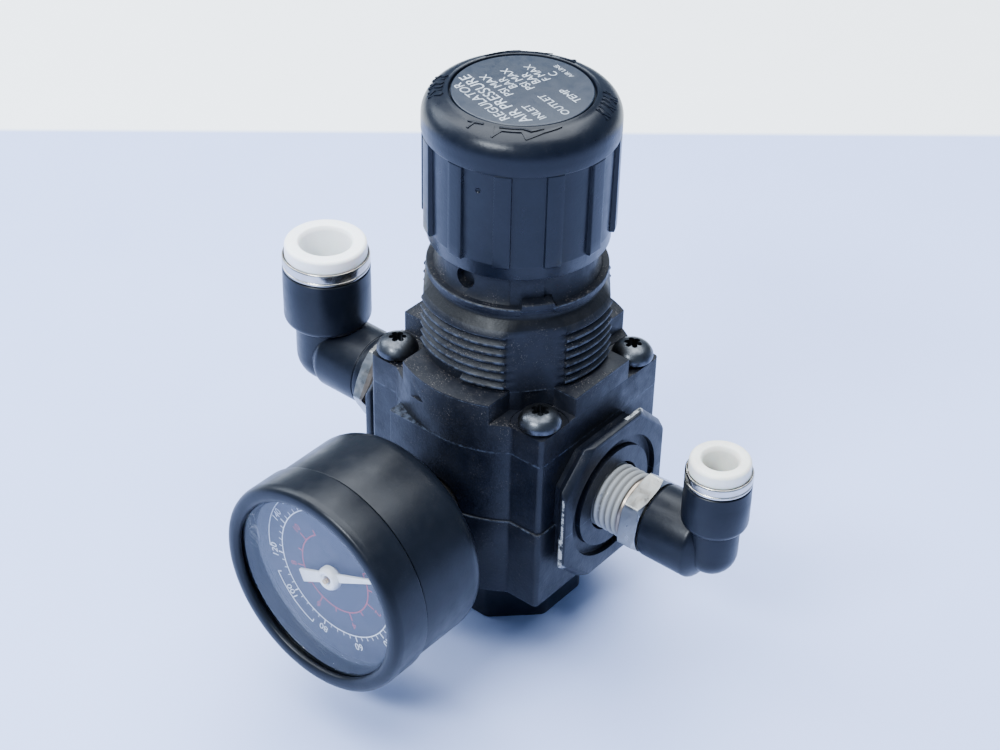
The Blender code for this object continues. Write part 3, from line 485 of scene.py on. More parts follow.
def worn(look, masks):
    """Paint chipped to bare metal inside boxes, given as (low, high) corners in millimetres."""
    total = None
    for low, high in masks:
        inside = None
        for axis, a, b in zip("XYZ", low, high):
            test = look.between(look.axis(axis), a, b)
            inside = test if inside is None else look.times(inside, test)
        total = inside if total is None else look.math("MAXIMUM", total, inside)
    ragged = look.ramp(look.noise(850, 6, 0.8), 0.43, 0.53)
    share = look.times(total, ragged)
    painted = look.painted()
    look.colour(look.mix(share, painted, rgb(0.33, 0.34, 0.35)))
    return look


# The cast body: painted highlight along the joint, the step and the bottom edge, and real chips to bare metal
# on the port plates.
CAST = worn(
    rubbed(
        black_look("cast_black", (0.0024, 0.0034, 0.0070), (0.0046, 0.0062, 0.0115), 0.34, 0.50, 0.35, 0.40),
        [(47.52, 0.10), (31.85, 0.12), (14.8, 0.12)]),
    [
        ((22.9, -15.4, 20.6), (24.2, -13.2, 31.0)), ((23.7, -15.4, 31.0), (24.2, -14.4, 40.5)),
        ((23.1, 3.6, 47.5), (24.0, 9.2, 48.6)),
    ],
).material
# Painted shade in the band under the lip, from 70.9 to 73.55 mm, and painted highlight along the edges and
# the thread crests.
BONNET = rubbed(
    grimy(
        black_look("bonnet_black", (0.0026, 0.0034, 0.0066), (0.0050, 0.0062, 0.0105), 0.40, 0.60, 0.4, 0.9),
        [(70.9, 73.55)],
    ),
    [(47.72, 0.10), (57.72, 0.08), (74.9, 0.12)], (18.08, 58.2, 70.2)).material
KNOB = black_look(
    "knob_black", (0.0024, 0.0038, 0.0080), (0.0040, 0.0058, 0.0110), 0.27, 0.38, 0.18, 0.08,
).material
CAN = black_look(
    "gauge_black", (0.0020, 0.0030, 0.0058), (0.0034, 0.0048, 0.0085), 0.30, 0.42, 0.12, 0.06,
).material
FITTING = black_look(
    "fitting_black", (0.0026, 0.0038, 0.0075), (0.0045, 0.0062, 0.0110), 0.28, 0.40, 0.15, 0.05,
).material


def nickel_look(name, sealed):
    """Plated brass, warm where the plating is thin, with grey sealant on the thread."""
    look = Look(name)
    stain = look.ramp(look.noise(230, 5, 0.65), 0.45, 0.72)
    tone = look.mix(stain, rgb(0.33, 0.335, 0.33), rgb(0.27, 0.245, 0.21))
    metal = 1.0
    rough = look.ramp(look.noise(650, 4), 0.3, 0.75, 0.26, 0.46)
    if sealed:
        reach = look.math("ABSOLUTE", look.axis("X"))
        thread = look.between(reach, 20, 29.5)
        thread = look.times(thread, look.ramp(look.noise(480, 5, 0.7), 0.28, 0.42))
        relief = look.between(reach, 29.2, 31.0)
        tone = look.mix(look.times(relief, 0.7), tone, rgb(0.22, 0.16, 0.11))
        tone = look.mix(thread, tone, rgb(0.24, 0.245, 0.245))
        across, up = look.axis("Y"), look.math("SUBTRACT", look.axis("Z"), PORT_Z * MM)
        square = look.plus(look.times(across, across), look.times(up, up))
        deep = look.times(look.ramp(look.math("SQRT", square), 6.35 * MM, 6.05 * MM), thread)
        tone = look.mix(look.times(deep, 0.75), tone, rgb(0.055, 0.05, 0.045))
        metal = look.math("SUBTRACT", 1.0, thread)
        rough = look.math("MAXIMUM", rough, look.times(thread, 0.72))
    look.colour(tone)
    look.feed(look.shader.inputs["Metallic"], metal)
    look.rough(rough)
    look.bump(look.noise(1100, 4, 0.6), 0.3, 0.0001)
    return look.material


def metal_look(name, base, tarnish, rough_low, rough_high, scale=500, grain=0.2):
    look = Look(name, Metallic=1.0)
    look.colour(look.mix(look.ramp(look.noise(scale * 0.5, 5, 0.6), 0.4, 0.75), rgb(*base), rgb(*tarnish)))
    look.rough(look.ramp(look.noise(scale, 4), 0.3, 0.75, rough_low, rough_high))
    look.bump(look.noise(scale * 4, 3), grain, 0.00005)
    return look.material


def plastic_look(name, base, other, rough_low=0.28, rough_high=0.42, grain=0.06, soft=0.0):
    look = Look(name, Subsurface_Weight=soft, Subsurface_Scale=0.002)
    look.colour(look.mix(look.ramp(look.noise(260, 4, 0.6), 0.45, 0.8), rgb(*base), rgb(*other)))
    look.rough(look.ramp(look.noise(700, 3), 0.3, 0.75, rough_low, rough_high))
    look.bump(look.noise(1900, 3), grain, 0.00005)
    return look.material


NICKEL = nickel_look("nickel_plate", False)
STEM_NICKEL = nickel_look("nickel_stem", True)
RING_NICKEL = metal_look("nickel_ring", (0.55, 0.53, 0.49), (0.40, 0.34, 0.27), 0.14, 0.28)
# Painted shade: the nickel-plated gauge socket gets a darker colour than the nickel, for the shade behind the
# gauge can.
SOCKET_SHADED = metal_look("socket_metal_shaded", (0.15, 0.14, 0.13), (0.07, 0.065, 0.06), 0.30, 0.5)
SCREW_STEEL = metal_look("screw_steel", (0.085, 0.09, 0.10), (0.028, 0.03, 0.034), 0.28, 0.46, 900, 0.3)
STEEL = metal_look("spring_steel", (0.42, 0.43, 0.45), (0.26, 0.26, 0.27), 0.25, 0.4)
BRASS = metal_look("brass", (0.68, 0.49, 0.22), (0.44, 0.29, 0.13), 0.24, 0.42)
PURE_WHITE = plastic_look("release_white", (0.93, 0.94, 0.95), (0.86, 0.87, 0.88), soft=0.15)
IVORY = plastic_look("release_ivory", (0.80, 0.79, 0.73), (0.66, 0.65, 0.60), soft=0.15)
WASHER_WHITE = plastic_look("washer_white", (0.72, 0.72, 0.70), (0.62, 0.62, 0.60))
RUBBER = plastic_look("rubber", (0.014, 0.014, 0.015), (0.024, 0.023, 0.023), 0.6, 0.8, 0.3)
LABEL = plastic_look("label_film", (0.010, 0.015, 0.026), (0.015, 0.021, 0.034), 0.34, 0.5, 0.04)
PRINT = plastic_look("label_print", (0.36, 0.39, 0.43), (0.22, 0.24, 0.27), 0.4, 0.6, 0.02)
DIAL = plastic_look("dial_face", (0.008, 0.011, 0.030), (0.013, 0.017, 0.038), 0.5, 0.65, 0.03)
DIAL_WHITE = plastic_look("dial_white", (0.72, 0.75, 0.78), (0.55, 0.58, 0.62), 0.45, 0.6, 0.02)
DIAL_RED = plastic_look("dial_red", (0.34, 0.035, 0.055), (0.22, 0.03, 0.05), 0.5, 0.65, 0.02)
POINTER = plastic_look("pointer_white", (0.80, 0.80, 0.78), (0.66, 0.66, 0.63), 0.35, 0.5, 0.03)


def lens_look():
    """Clear moulded window: see-through, with a clean gloss and a faint worn haze."""
    look = Look("lens_clear", Metallic=1.0, Roughness=0.05)
    look.colour(look.mix(look.ramp(look.noise(90, 4), 0.4, 0.7), rgb(0.93, 0.96, 1.0), rgb(0.84, 0.90, 0.98)))
    clear = look.tree.nodes.new("ShaderNodeBsdfTransparent")
    facing = look.node("LayerWeight", Blend=0.5).outputs["Facing"]
    gloss = look.plus(look.times(look.math("POWER", facing, 3.0), 0.40), 0.008)
    scratches = look.ramp(look.noise(300, 5, 0.7, (1, 1, 6)), 0.62, 0.75, 0.0, 0.03)
    share = look.plus(gloss, scratches)
    blend = look.tree.nodes.new("ShaderNodeMixShader")
    look.feed(blend.inputs[0], share)
    look.tree.links.new(clear.outputs[0], blend.inputs[1])
    look.tree.links.new(look.shader.outputs[0], blend.inputs[2])
    look.tree.links.new(blend.outputs[0], look.tree.nodes["Material Output"].inputs["Surface"])
    return look.material


LENS = lens_look()

SLOT_LOOKS = {
    "black_cast": CAST, "black_plastic": KNOB, "black_fitting": FITTING, "nickel": NICKEL, "steel": STEEL,
    "brass": BRASS, "white_plastic": WASHER_WHITE, "rubber": RUBBER, "silver_print": LABEL,
    "dial_paint": DIAL,
    "pointer_paint": POINTER, "clear_plastic": LENS,
}
for part in frame["record"]["subparts"]:
    node = frame["nodes"][part["node"]]
    for index in range(len(node.material_slots)):
        node.material_slots[index].material = SLOT_LOOKS[part["material_slot"]]


# ---------------------------------------------------------------- body


def footprint(grow=0.0, with_pad=False, flat_trim=0.06):
    """The casting's outline: a rectangle that a cylinder bulges through at the front and back."""
    half_x = BODY_HALF_X + grow
    half_y = BODY_HALF_Y + grow
    radius = BODY_BULGE_R + grow
    meet = math.degrees(math.asin(half_y / radius))
    cut = 0.6
    flat_y = half_y - flat_trim
    right = [(half_x, -half_y + cut), (half_x, half_y - cut), (half_x - cut, flat_y)]
    left = [(-x, -y) for x, y in right]
    back = arc(radius, meet, 180 - meet, 30)
    if with_pad:
        pad_x = 11.4 + grow
        pad = math.degrees(math.acos(pad_x / radius))
        front = arc(radius, meet - 180, pad - 180, 6) + [(-pad_x, -radius)] + arc(radius, -90, -meet, 16)
    else:
        front = arc(radius, meet - 180, -meet, 30)
    outline = right + back + [(-half_x + cut, flat_y)] + left + front + [(half_x - cut, -flat_y)]
    return rounded(outline, 0.35, 2)


SCREW_PLACES = [(17.0, -13.7), (17.0, 13.7), (-17.0, 13.7), (-17.0, -13.7)]


def body_piece():
    body = prism("body", footprint(0, True), 31, JOINT_Z)
    lower = bevelled(prism("body_lower", footprint(0.4, True), 14.6, STEP_Z), 0.3)
    adds = [lower]
    cuts = []
    core = [
        (0, 14), (12, 14), (12, 26), (9.5, 26), (9.5, 31), (7.5, 31), (7.5, 36), (9.5, 36), (9.5, 41),
        (15, 41),
    ]
    core += [(15, 46.9), (16.8, 46.9), (16.8, 48), (0, 48)]
    cuts.append(lathe("core", core, 0, 60))
    for side in ("right", "left"):
        at = (0, 0, PORT_Z)
        neck = octagon(13.25, 12.8, 5.4)
        sections = [
            (18, neck), (21.6, neck), (23.3, octagon(15.25, 14.8, 6.4)),
            (24.6, octagon(15.25, 14.8, 8.0)),
        ]
        adds.append(bevelled(loft("plate_" + side, sections, 0.5, at, side), 0.22, 42))
        mouth = [(0, 12), (5.2, 12), (5.2, 17), (6.9, 17), (6.9, 24.4), (7.1, 24.7), (7.1, 26), (0, 26)]
        cuts.append(lathe("mouth_" + side, mouth, 0.12, 64, at, side))
        cuts.append(
            lathe("groove_" + side, [(10.3, 23.3), (12.5, 23.3), (12.5, 26), (10.3, 26)], 0.2, 72, at, side)
        )
    small = [(0, 12), (4.4, 12), (4.4, 14), (5.2, 14), (5.2, 21.6), (6.2, 22.6), (6.2, 24), (0, 24)]
    cuts.append(lathe("port_front", small, 0.1, 40, (0, 0, GAUGE_Z), "front"))
    cuts.append(lathe("port_back", small, 0.1, 40, (0, 0, GAUGE_Z), "back"))
    for size, centre in (
        ((7, 7, 8), (-10.5, 0, 25)), ((7, 7, 4), (10.5, 0, 38)), ((5, 7, 5), (0, -10.5, 37.5)),
        ((5, 7, 5), (0, 10.5, 37.5)),
    ):
        cuts.append(box("passage", size, centre))
    for x, y in SCREW_PLACES:
        cuts.append(lathe("screw_hole", [(0, 38), (1.9, 38), (1.9, 48.5), (0, 48.5)], 0, 24, (x, y, 0)))
    combine(body, adds, cuts)
    return piece(body, CAST, "housing", "black_cast", "body_casting")


def plug_piece():
    plug = bevelled(prism("plug", octagon(13.7, 13.7, 8.0), 0, 14.3, 0.9), 0.45)
    spigot = [
        (0, 13.3), (11.6, 13.3), (11.6, 18), (10.2, 18), (10.2, 20.6), (11.6, 20.6), (11.6, 24),
        (10.8, 24.8), (0, 24.8),
    ]
    well = [(0, 10), (1.95, 10), (1.95, 16), (6.2, 16), (6.2, 20), (8.6, 20), (8.6, 26), (0, 26)]
    relief = [(6.0, -1), (10.6, -1), (10.6, 2.2), (6.0, 2.2)]
    combine(
        plug, [lathe("spigot", spigot, 0.1, 64)],
        [lathe("well", well, 0.1, 48), lathe("relief", relief, 0.3, 64)],
    )
    return piece(plug, KNOB, "housing", "black_plastic", "bottom_plug")


# ---------------------------------------------------------------- bonnet


FLATS = (38.9, 141.1, -141.1, -38.9)
FLAT_HALF = 17.6


def bonnet_piece():
    def flatted(radius, height):
        """A ring of the neck, cut back where one of the four flats is."""
        def ring(a):
            reach = radius
            if 57.9 < height < 74:
                for flat in FLATS:
                    off = apart(a, flat)
                    if abs(off) < FLAT_HALF:
                        reach = min(reach, 16.9 / math.cos(math.radians(off)))
            return reach, height
        return ring

    def ridge(k, radius, height):
        """A crest of the thread. The lowest starts part of the way round, as a real lead-in does."""
        def ring(a):
            starts = abs(apart(a, -62)) > 22 and abs(apart(a, 8)) > 60
            reach = NECK_R if k == 0 and starts else radius
            return flatted(reach, height)(a)
        return ring

    def lip(radius, height):
        """The lip's ring, raised over the arch at the front right."""
        def ring(a):
            off = apart(a, -37.75)
            share = max(0.0, min(1.0, (off + 11.25) / 0.6, (11.25 - off) / 2.0))
            return radius + 0.35 * share, height + 1.15 * share
        return ring

    def collar(height):
        def ring(a):
            on_pad = abs(apart(a, -44.5)) < 11.5 and height < 80.6
            return (15.0 if on_pad else 14.6), height
        return ring

    rings = [(0, 52.3), (NECK_R, 52.3), flatted(NECK_R, 57.95)]
    for k in range(6):
        low = 58.15 + 1.8 * k
        rings += [
            flatted(NECK_R, low), ridge(k, 18.1, low + 0.62), ridge(k, 18.2, low + 0.78),
            ridge(k, 18.2, low + 0.98),
        ]
        rings += [ridge(k, 18.1, low + 1.14), flatted(NECK_R, low + 1.66)]
    rings += [
        flatted(17.35, 69.1), flatted(17.9, 69.45), flatted(18.1, 69.75), flatted(18.0, 70.15),
        flatted(17.5, 70.75),
    ]
    rings += [flatted(16.0, 72.3), (15.8, 72.6), (15.8, 73.3)]
    rings += [
        lip(15.85, 73.5), lip(16.4, 73.6), lip(16.6, 73.85), lip(16.6, 74.95), lip(16.4, 75.15),
        lip(15.35, 75.2),
    ]
    rings += [
        collar(76.4), collar(80.3), collar(80.5), collar(80.65), (14.6, 83.4), (14.4, 83.85), (14.0, 84),
        (0, 84),
    ]
    edges = [
        flat + side * FLAT_HALF
        for flat in FLATS for side in (-1, 1)
    ] + [-56.0, -33.0, -49.0, -84.0, -40.0]
    neck = skin("neck", rings, azimuths(2.4, *edges))

    cover = prism("bonnet", footprint(), JOINT_Z, 58.0)
    pads = []
    for x, y in SCREW_PLACES:
        right, back = math.copysign(1, x), math.copysign(1, y)
        corner = [(10.2, 7.8, 1.0), (36, 7.8), (36, 36), (10.2, 36)]
        corner = [(right * p[0], back * p[1], *p[2:]) for p in corner]
        pads.append(prism("pad", rounded(corner, 0.3), 53.8, 60))
    combine(cover, [], pads)
    bevelled(cover, 0.3)
    cuts = [
        lathe("spot", [(0, 53.55), (5.4, 53.55), (5.4, 57.6), (0, 57.6)], 0.2, 48, (x, y, 0))
        for x, y in SCREW_PLACES
    ]
    chamber = [
        (0, 47), (16.8, 47), (16.8, 48.3), (13.6, 50.6), (12.4, 53), (12.4, 79.9), (4.4, 79.9), (4.4, 85),
        (0, 85),
    ]
    cuts.append(lathe("chamber", chamber, 0, 72))
    cuts.append(box("keyway", (28.6, 4.6, 28), (0, 0, 65.5)))
    notches = []
    for i in range(12):
        middle = 30 * i
        notches += [(13.0, middle - 7.5), (15.6, middle - 7.5), (15.6, middle + 7.5), (13.0, middle + 7.5)]
    inner = [polar(r, a) for r, a in notches]
    cuts.append(prism("notches", circle(18), 80.5, 85, holes=[inner]))
    for x, y in SCREW_PLACES:
        cuts.append(lathe("hole", [(0, 47), (2.3, 47), (2.3, 55), (0, 55)], 0, 24, (x, y, 0)))
    cuts.append(lathe("tamper", [(0, 12.8), (2.0, 12.8), (2.0, 18), (0, 18)], 0, 32, (0, 0, 78.2), "front"))
    cuts.append(
        prism(
            "arrow", rounded([(-3.2, -2.4), (3.4, -1.2), (-2.4, 2.6)], 0.25), 21.1, 23.3, 0,
            (-6.6, 0, 54.4), "front",
        )
    )
    combine(cover, [neck], cuts)
    return piece(cover, BONNET, "housing", "black_cast", "bonnet")


def screw_pieces():
    for number, (x, y) in enumerate(SCREW_PLACES, 1):
        head = [
            (0, 57.2), (1.8, 57.0, 0.8), (3.2, 56.3, 1.0), (3.95, 55.0, 0.8), (3.95, 54.1, 0.2),
            (1.95, 54.1), (1.95, 48.2), (1.6, 47.8),
        ]
        screw = lathe(f"screw_{number}", head + [(1.6, 40.4), (1.1, 39.6), (0, 39.6)], 0.1, 48, (x, y, 0))
        lobes = []
        for i in range(6):
            middle = 60 * i + 11 * number
            lobes += arc(0.55, middle - 80, middle + 80, 5, polar(1.15, middle))
            lobes.append(polar(1.02, middle + 30))
        combine(screw, [], [prism("recess", lobes, 55.2, 58, 0, (x, y, 0))])
        piece(screw, SCREW_STEEL, "housing", "steel", f"bonnet_screw_{number}")


# ---------------------------------------------------------------- knob


RIB_AZIMUTHS = [-61 + 360 / KNOB_RIBS * i for i in range(KNOB_RIBS)]
RIB_HALF = 5.0


def knob_piece():
    def ribbed(base, rib, height):
        def ring(a):
            on = any(abs(apart(a, middle)) < RIB_HALF for middle in RIB_AZIMUTHS)
            return (rib if on else base), height
        return ring

    rings = [
        (16.1, 81.2), (16.4, 81.22), (16.52, 81.4), (16.58, 83.86), ribbed(16.6, 17.3, 83.9),
        ribbed(16.62, 17.42, 84.05),
    ]
    rings += [ribbed(16.62 + 0.18 * i / 8, KNOB_R, 84.3 + i * 2.2) for i in range(9)]
    rings += [
        ribbed(16.82, KNOB_R, 102.1), ribbed(16.95, KNOB_R, 102.22), (17.42, 102.35), (KNOB_R, 102.6),
        (KNOB_R, 104.0),
    ]
    shoulder = arc(SHOULDER_R, 0, 90, 14, SHOULDER_AT)
    rings += [(r, z) for r, z in shoulder if z < 109.3]
    rings += [
        (13.35, 109.45), (12.95, 109.62), (12.8, 109.55), (12.7, 109.3), (12.7, 108.75), (12.65, 108.7),
        (0, 108.7),
    ]
    rings += [(0, 106.4), (12.6, 106.4), (15.6, 103.5), (15.6, 81.6), (15.7, 81.3)]
    edges = [middle + side * RIB_HALF for middle in RIB_AZIMUTHS for side in (-1, 1)]
    cap = bevelled(skin("knob", rings, azimuths(2.4, *edges)), 0.13, 50)
    hub = prism("hub", circle(6.6, 48), 90.2, 106.9, holes=[hexagon(7.5)])
    tooth = []
    for i in range(12):
        middle = 30 * i + 15
        corners = ((14.9, middle - 6.3), (13.5, middle - 5.1), (13.5, middle + 5.1), (14.9, middle + 6.3))
        tooth += [polar(r, a) for r, a in corners]
    teeth = prism("teeth", circle(15.9, 96), 85.2, 88, holes=[tooth])
    dent = lathe("dent", [(0, -0.35), (0.55, 0.05), (0.55, 0.6), (0, 0.6)], 0.1, 24, (0, 0, 0), "front")
    dent.data.transform(Matrix.Translation((4.03 * MM, -16.2 * MM, 98.4 * MM)))
    combine(cap, [hub, teeth], [dent])
    return piece(cap, KNOB, "knob", "black_plastic", "knob", sharp=35)


def on_shoulder(azimuth, slope, lift):
    """A point on the knob's rounded shoulder, lifted along its normal."""
    a, s = math.radians(azimuth), math.radians(slope)
    reach = SHOULDER_AT[0] + (SHOULDER_R + lift) * math.cos(s)
    height = SHOULDER_AT[1] + (SHOULDER_R + lift) * math.sin(s)
    return Vector((reach * math.cos(a), reach * math.sin(a), height))


def stroke(work, points, half=0.2, top=0.2, under=-0.25):
    """A raised line on the shoulder along (azimuth, slope) points."""
    for (a0, s0), (a1, s1) in zip(points, points[1:]):
        count = max(1, round(abs(a1 - a0) / 4))
        for k in range(count):
            start = (a0 + (a1 - a0) * k / count, s0 + (s1 - s0) * k / count)
            end = (a0 + (a1 - a0) * (k + 1) / count, s0 + (s1 - s0) * (k + 1) / count)
            p, q = on_shoulder(*start, 0), on_shoulder(*end, 0)
            normal = (on_shoulder(*start, 1) - p).normalized()
            side = normal.cross((q - p).normalized()) * half
            reach = (q - p).normalized() * half * 0.6
            corners = []
            for lift in (under, top):
                for point, sign in ((p - reach, 1), (p - reach, -1), (q + reach, -1), (q + reach, 1)):
                    corners.append(work.verts.new(point + side * sign + normal * lift))
            for face in BOX_FACES:
                work.faces.new([corners[n] for n in face])


def knob_marks():
    """Raised marks on the shoulder: two double arrows, and groups of short strokes in place of words."""
    work = bmesh.new()
    for middle in (-48, 132):
        outline = [(-24, 84), (-22, 57), (-17, 77), (-3, 78), (-0.5, 59), (11, 74), (25, 82)]
        stroke(work, [(middle + a, s) for a, s in outline])
        stroke(work, [(middle - 19, 86), (middle - 2, 87), (middle + 3, 80), (middle + 12, 86)])
        stroke(work, [(middle - 43, 79), (middle - 32, 85)])
        stroke(work, [(middle - 38, 83), (middle - 40, 61)])
    for middle in (26, 212):
        for i in range(6):
            start = middle - 14 + 5.2 * i
            stroke(work, [(start, 48), (start + 1.6, 80)])
            if i % 3 != 1:
                stroke(work, [(start + 1.6, 80), (start + 3.4, 76), (start + 1.4, 64)])
            if i % 2 == 0:
                stroke(work, [(start + 1.0, 64), (start + 3.8, 46)])
    marks = make("knob_marks", work)
    return piece(marks, KNOB, "knob", "black_plastic")


def lettering(name, text, size, thickness, look, body, slot, matrix):
    """Raised text or numerals, as a closed mesh."""
    curve = bpy.data.curves.new(name, "FONT")
    curve.body = text
    curve.size = size
    curve.extrude = thickness / 2
    curve.resolution_u = 3
    curve.align_x = "CENTER"
    curve.align_y = "CENTER"
    obj = from_curve(name, curve, (0, 0, 0))
    obj.data.transform(Matrix.Scale(1 / MM, 4))
    obj.data.transform(matrix)
    obj.data.transform(Matrix.Scale(MM, 4))
    return piece(obj, look, body, slot)


LABEL_TURN = 165
LABEL_LINES = [
    ("REGULATOR", 0.4, 8.3, 2.6), ("AIR PRESSURE", 0.0, 5.7, 3.1), ("INLET", -7.4, 2.9, 2.1),
    ("PSI MAX", 3.6, 2.9, 2.3),
    ("BAR", 3.2, 0.8, 2.3), ("OUTLET", -7.2, -1.4, 2.1), ("PSI MAX", 3.4, -1.4, 2.3), ("BAR", 2.4, -3.5, 2.3),
    ("TEMP", -6.2, -5.6, 2.1), ("F MAX", 3.4, -5.6, 2.2), ("C", 1.6, -7.7, 2.2), ("AIR LINE", 1.4, -9.8, 1.3),
]


def label_pieces():
    """The printed disc on top, with general words only."""
    disc = lathe("label", [(0, 109.0), (12.35, 109.0), (12.35, 109.38), (12.2, 109.5), (0, 109.5)], 0.05, 128)
    piece(disc, LABEL, "knob", "silver_print", "knob_label")
    turn = Matrix.Rotation(math.radians(LABEL_TURN), 4, "Z")
    for number, (text, along, across, size) in enumerate(LABEL_LINES):
        spot = Matrix.Translation((along, across, 109.515))
        lettering(f"label_text_{number}", text, size, 0.03, PRINT, "knob", "silver_print", turn @ spot)


# ---------------------------------------------------------------- gauge


GAUGE_AT = (0, 0, GAUGE_Z)


def on_dial(s):
    """Places a drawing made in the dial's plane, seen from the front, at a distance out from the axis."""
    return Matrix.Translation((0, -s, GAUGE_Z)) @ Matrix.Rotation(math.radians(90), 4, "X")


def sector_plate(work, inner, outer, start, end, low, high):
    """An arc-shaped strip of the dial's print."""
    count = max(1, round(abs(end - start) / 4))
    section = [(inner, low), (outer, low), (outer, high), (inner, high)]
    sweep(work, section, [start + (end - start) * i / count for i in range(count + 1)])


def tick(work, angle, inner, outer, half, low, high):
    turn = Matrix.Rotation(math.radians(angle), 3, "Z")
    corners = []
    for z in (low, high):
        for x, y in ((inner, -half), (outer, -half), (outer, half), (inner, half)):
            corners.append(work.verts.new(turn @ Vector((x, y, z))))
    for face in BOX_FACES:
        work.faces.new([corners[n] for n in face])


def scale_angle(value):
    """The place of a value of the white scale, in degrees from the dial's right-hand side."""
    return 31.0 - value * 33.4 / 20


def gauge_pieces():
    stem = [
        (1.0, 14.4), (4.3, 14.4), (4.85, 15.0), (4.85, 22.9), (4.4, 23.2), (4.4, 24), (6.6, 24),
        (6.6, 29.8), (4.7, 30.2), (4.7, 41.2), (1.0, 41.2),
    ]
    socket = lathe("socket", stem, 0.15, 64, GAUGE_AT, "front")
    nut = prism("socket_hexagon", hexagon(14.0, 30), 24.2, 29.6, 0.3, GAUGE_AT, "front", [circle(3.0, 32)])
    combine(socket, [bevelled(nut, 0.3)])
    # The socket's darker colour is painted shade.
    piece(socket, SOCKET_SHADED, "housing", "nickel", "gauge_socket")
    outer = [(5.1, 32.2), (18.2, 32.2), (19.8, 32.9, 1.0), (20.5, 34.6, 1.2), (20.5, 47.9), (19.6, 47.9)]
    inner = [(19.6, 53.4), (18.9, 53.4), (18.9, 34.6), (18.0, 33.8), (5.1, 33.8)]
    piece(
        lathe("can", outer + inner, 0.15, 144, GAUGE_AT, "front"), CAN, "housing", "black_plastic",
        "gauge_case",
    )
    outer = [
        (19.9, 48.2), (20.75, 48.2), (20.95, 48.4), (21.0, 54.6, 0.4), (20.7, 55.55, 0.6),
        (20.1, 56.0, 0.5), (19.5, 56.1),
    ]
    inner = [(18.8, 56.1, 0.3), (18.0, 55.7, 0.3), (17.9, 54.95), (19.9, 54.95)]
    piece(
        lathe("bezel", outer + inner, 0.12, 144, GAUGE_AT, "front"), CAN, "housing", "black_plastic",
        "gauge_bezel",
    )
    glass = [
        (0, 53.7), (17.3, 53.7), (17.4, 50.2), (18.4, 50.2), (18.5, 53.7), (19.5, 53.7), (19.5, 54.6),
        (17.8, 54.85), (14, 54.95), (7, 55.1), (0, 55.2),
    ]
    piece(lathe("lens", glass, 0.1, 128, GAUGE_AT, "front"), LENS, "housing", "clear_plastic", "gauge_lens")
    dial = lathe(
        "dial", [(1.5, 48.7), (18.5, 48.7), (18.5, DIAL_FACE), (1.5, DIAL_FACE)], 0.05, 128, GAUGE_AT,
        "front",
    )
    piece(dial, DIAL, "housing", "dial_paint", "gauge_dial")
    print_pieces()
    pointer_piece()
    tube_pieces()


def number_piece(name, value, angle, reach, size, look):
    """A number of the dial, with its foot towards the middle."""
    turned = Matrix.Rotation(math.radians(angle), 4, "Z") @ Matrix.Translation((reach, 0, 0))
    spot = turned @ Matrix.Rotation(math.radians(-90), 4, "Z")
    lettering(name, str(value), size, 0.03, look, "housing", "dial_paint", on_dial(DIAL_FACE + 0.01) @ spot)


def print_pieces():
    """The white and the red scale with their numbers."""
    low, high = DIAL_FACE - 0.01, DIAL_FACE + 0.03
    white = bmesh.new()
    sector_plate(white, 12.95, 13.15, scale_angle(0), scale_angle(160), low, high)
    for value in range(0, 161, 4):
        major = value % 20 == 0
        tick(white, scale_angle(value), 13.05, 14.3 if major else 13.9, 0.11 if major else 0.06, low, high)
    for start, end in ((-152, -112), (-218, -172)):
        sector_plate(white, 16.3, 16.5, start, end, low, high)
        for angle in (start, end):
            tick(white, angle, 15.5, 16.5, 0.1, low, high)
    piece(make("dial_scale", white, GAUGE_AT, "front"), DIAL_WHITE, "housing", "dial_paint")
    red = bmesh.new()
    sector_plate(red, 7.85, 8.1, scale_angle(0), scale_angle(160), low, high)
    for step in range(12):
        angle = scale_angle(0) - 24.2 * step
        tick(red, angle, 8.0, 9.7 if step % 2 == 0 else 9.0, 0.12, low, high)
    piece(make("dial_inner_scale", red, GAUGE_AT, "front"), DIAL_RED, "housing", "dial_paint")
    for value in range(0, 161, 20):
        number_piece(f"dial_number_{value}", value, scale_angle(value), 15.3, 2.1, DIAL_WHITE)
    for step in range(0, 12, 2):
        number_piece(f"dial_inner_number_{step}", step, scale_angle(0) - 24.2 * step, 10.7, 2.0, DIAL_RED)


def pointer_piece():
    hand = [(0, -0.95), (12.8, -0.3), (13.4, 0), (12.8, 0.3), (0, 0.95), (-7.9, 1.3), (-7.9, -1.3)]
    turn = math.radians(26)
    outline = [
        (x * math.cos(turn) - y * math.sin(turn), x * math.sin(turn) + y * math.cos(turn))
        for x, y in hand
    ]
    pointer = bevelled(prism("pointer", outline, 50.4, 50.9, 0.12, GAUGE_AT, "front"), 0.1)
    boss = [
        (0, 50.2), (2.3, 50.2), (2.35, 51.2, 0.3), (1.9, 51.9, 0.4), (1.35, 51.9, 0.2), (1.2, 51.55, 0.2),
        (0, 51.55),
    ]
    combine(
        pointer, [lathe("boss", boss, 0.1, 48, GAUGE_AT, "front")],
        [lathe("bore", [(0, 49.8), (0.85, 49.8), (0.85, 52.5), (0, 52.5)], 0, 24, GAUGE_AT, "front")],
    )
    piece(pointer, POINTER, "pointer", "pointer_paint", "gauge_pointer")


def tube_pieces():
    """The bent tube of the gauge, and the pin that its link turns on. The pin stays with the link."""
    places = [(0, 6.0)] + arc(15.2, -262, -20, 60)
    tube = wire("tube", 1.1, 4, [(x, y, 38.6) for x, y in places], GAUGE_AT, "front")
    piece(tube, BRASS, "housing", "brass", "bourdon_tube")
    x, y = places[-1]
    pin = [(0, 39.95), (0.4, 39.95), (0.4, 44.1), (0, 44.1)]
    piece(lathe("tube_pin", pin, 0.08, 24, (x, 0, GAUGE_Z + y), "front"), BRASS, "link", "brass")


# ---------------------------------------------------------------- push-in elbows


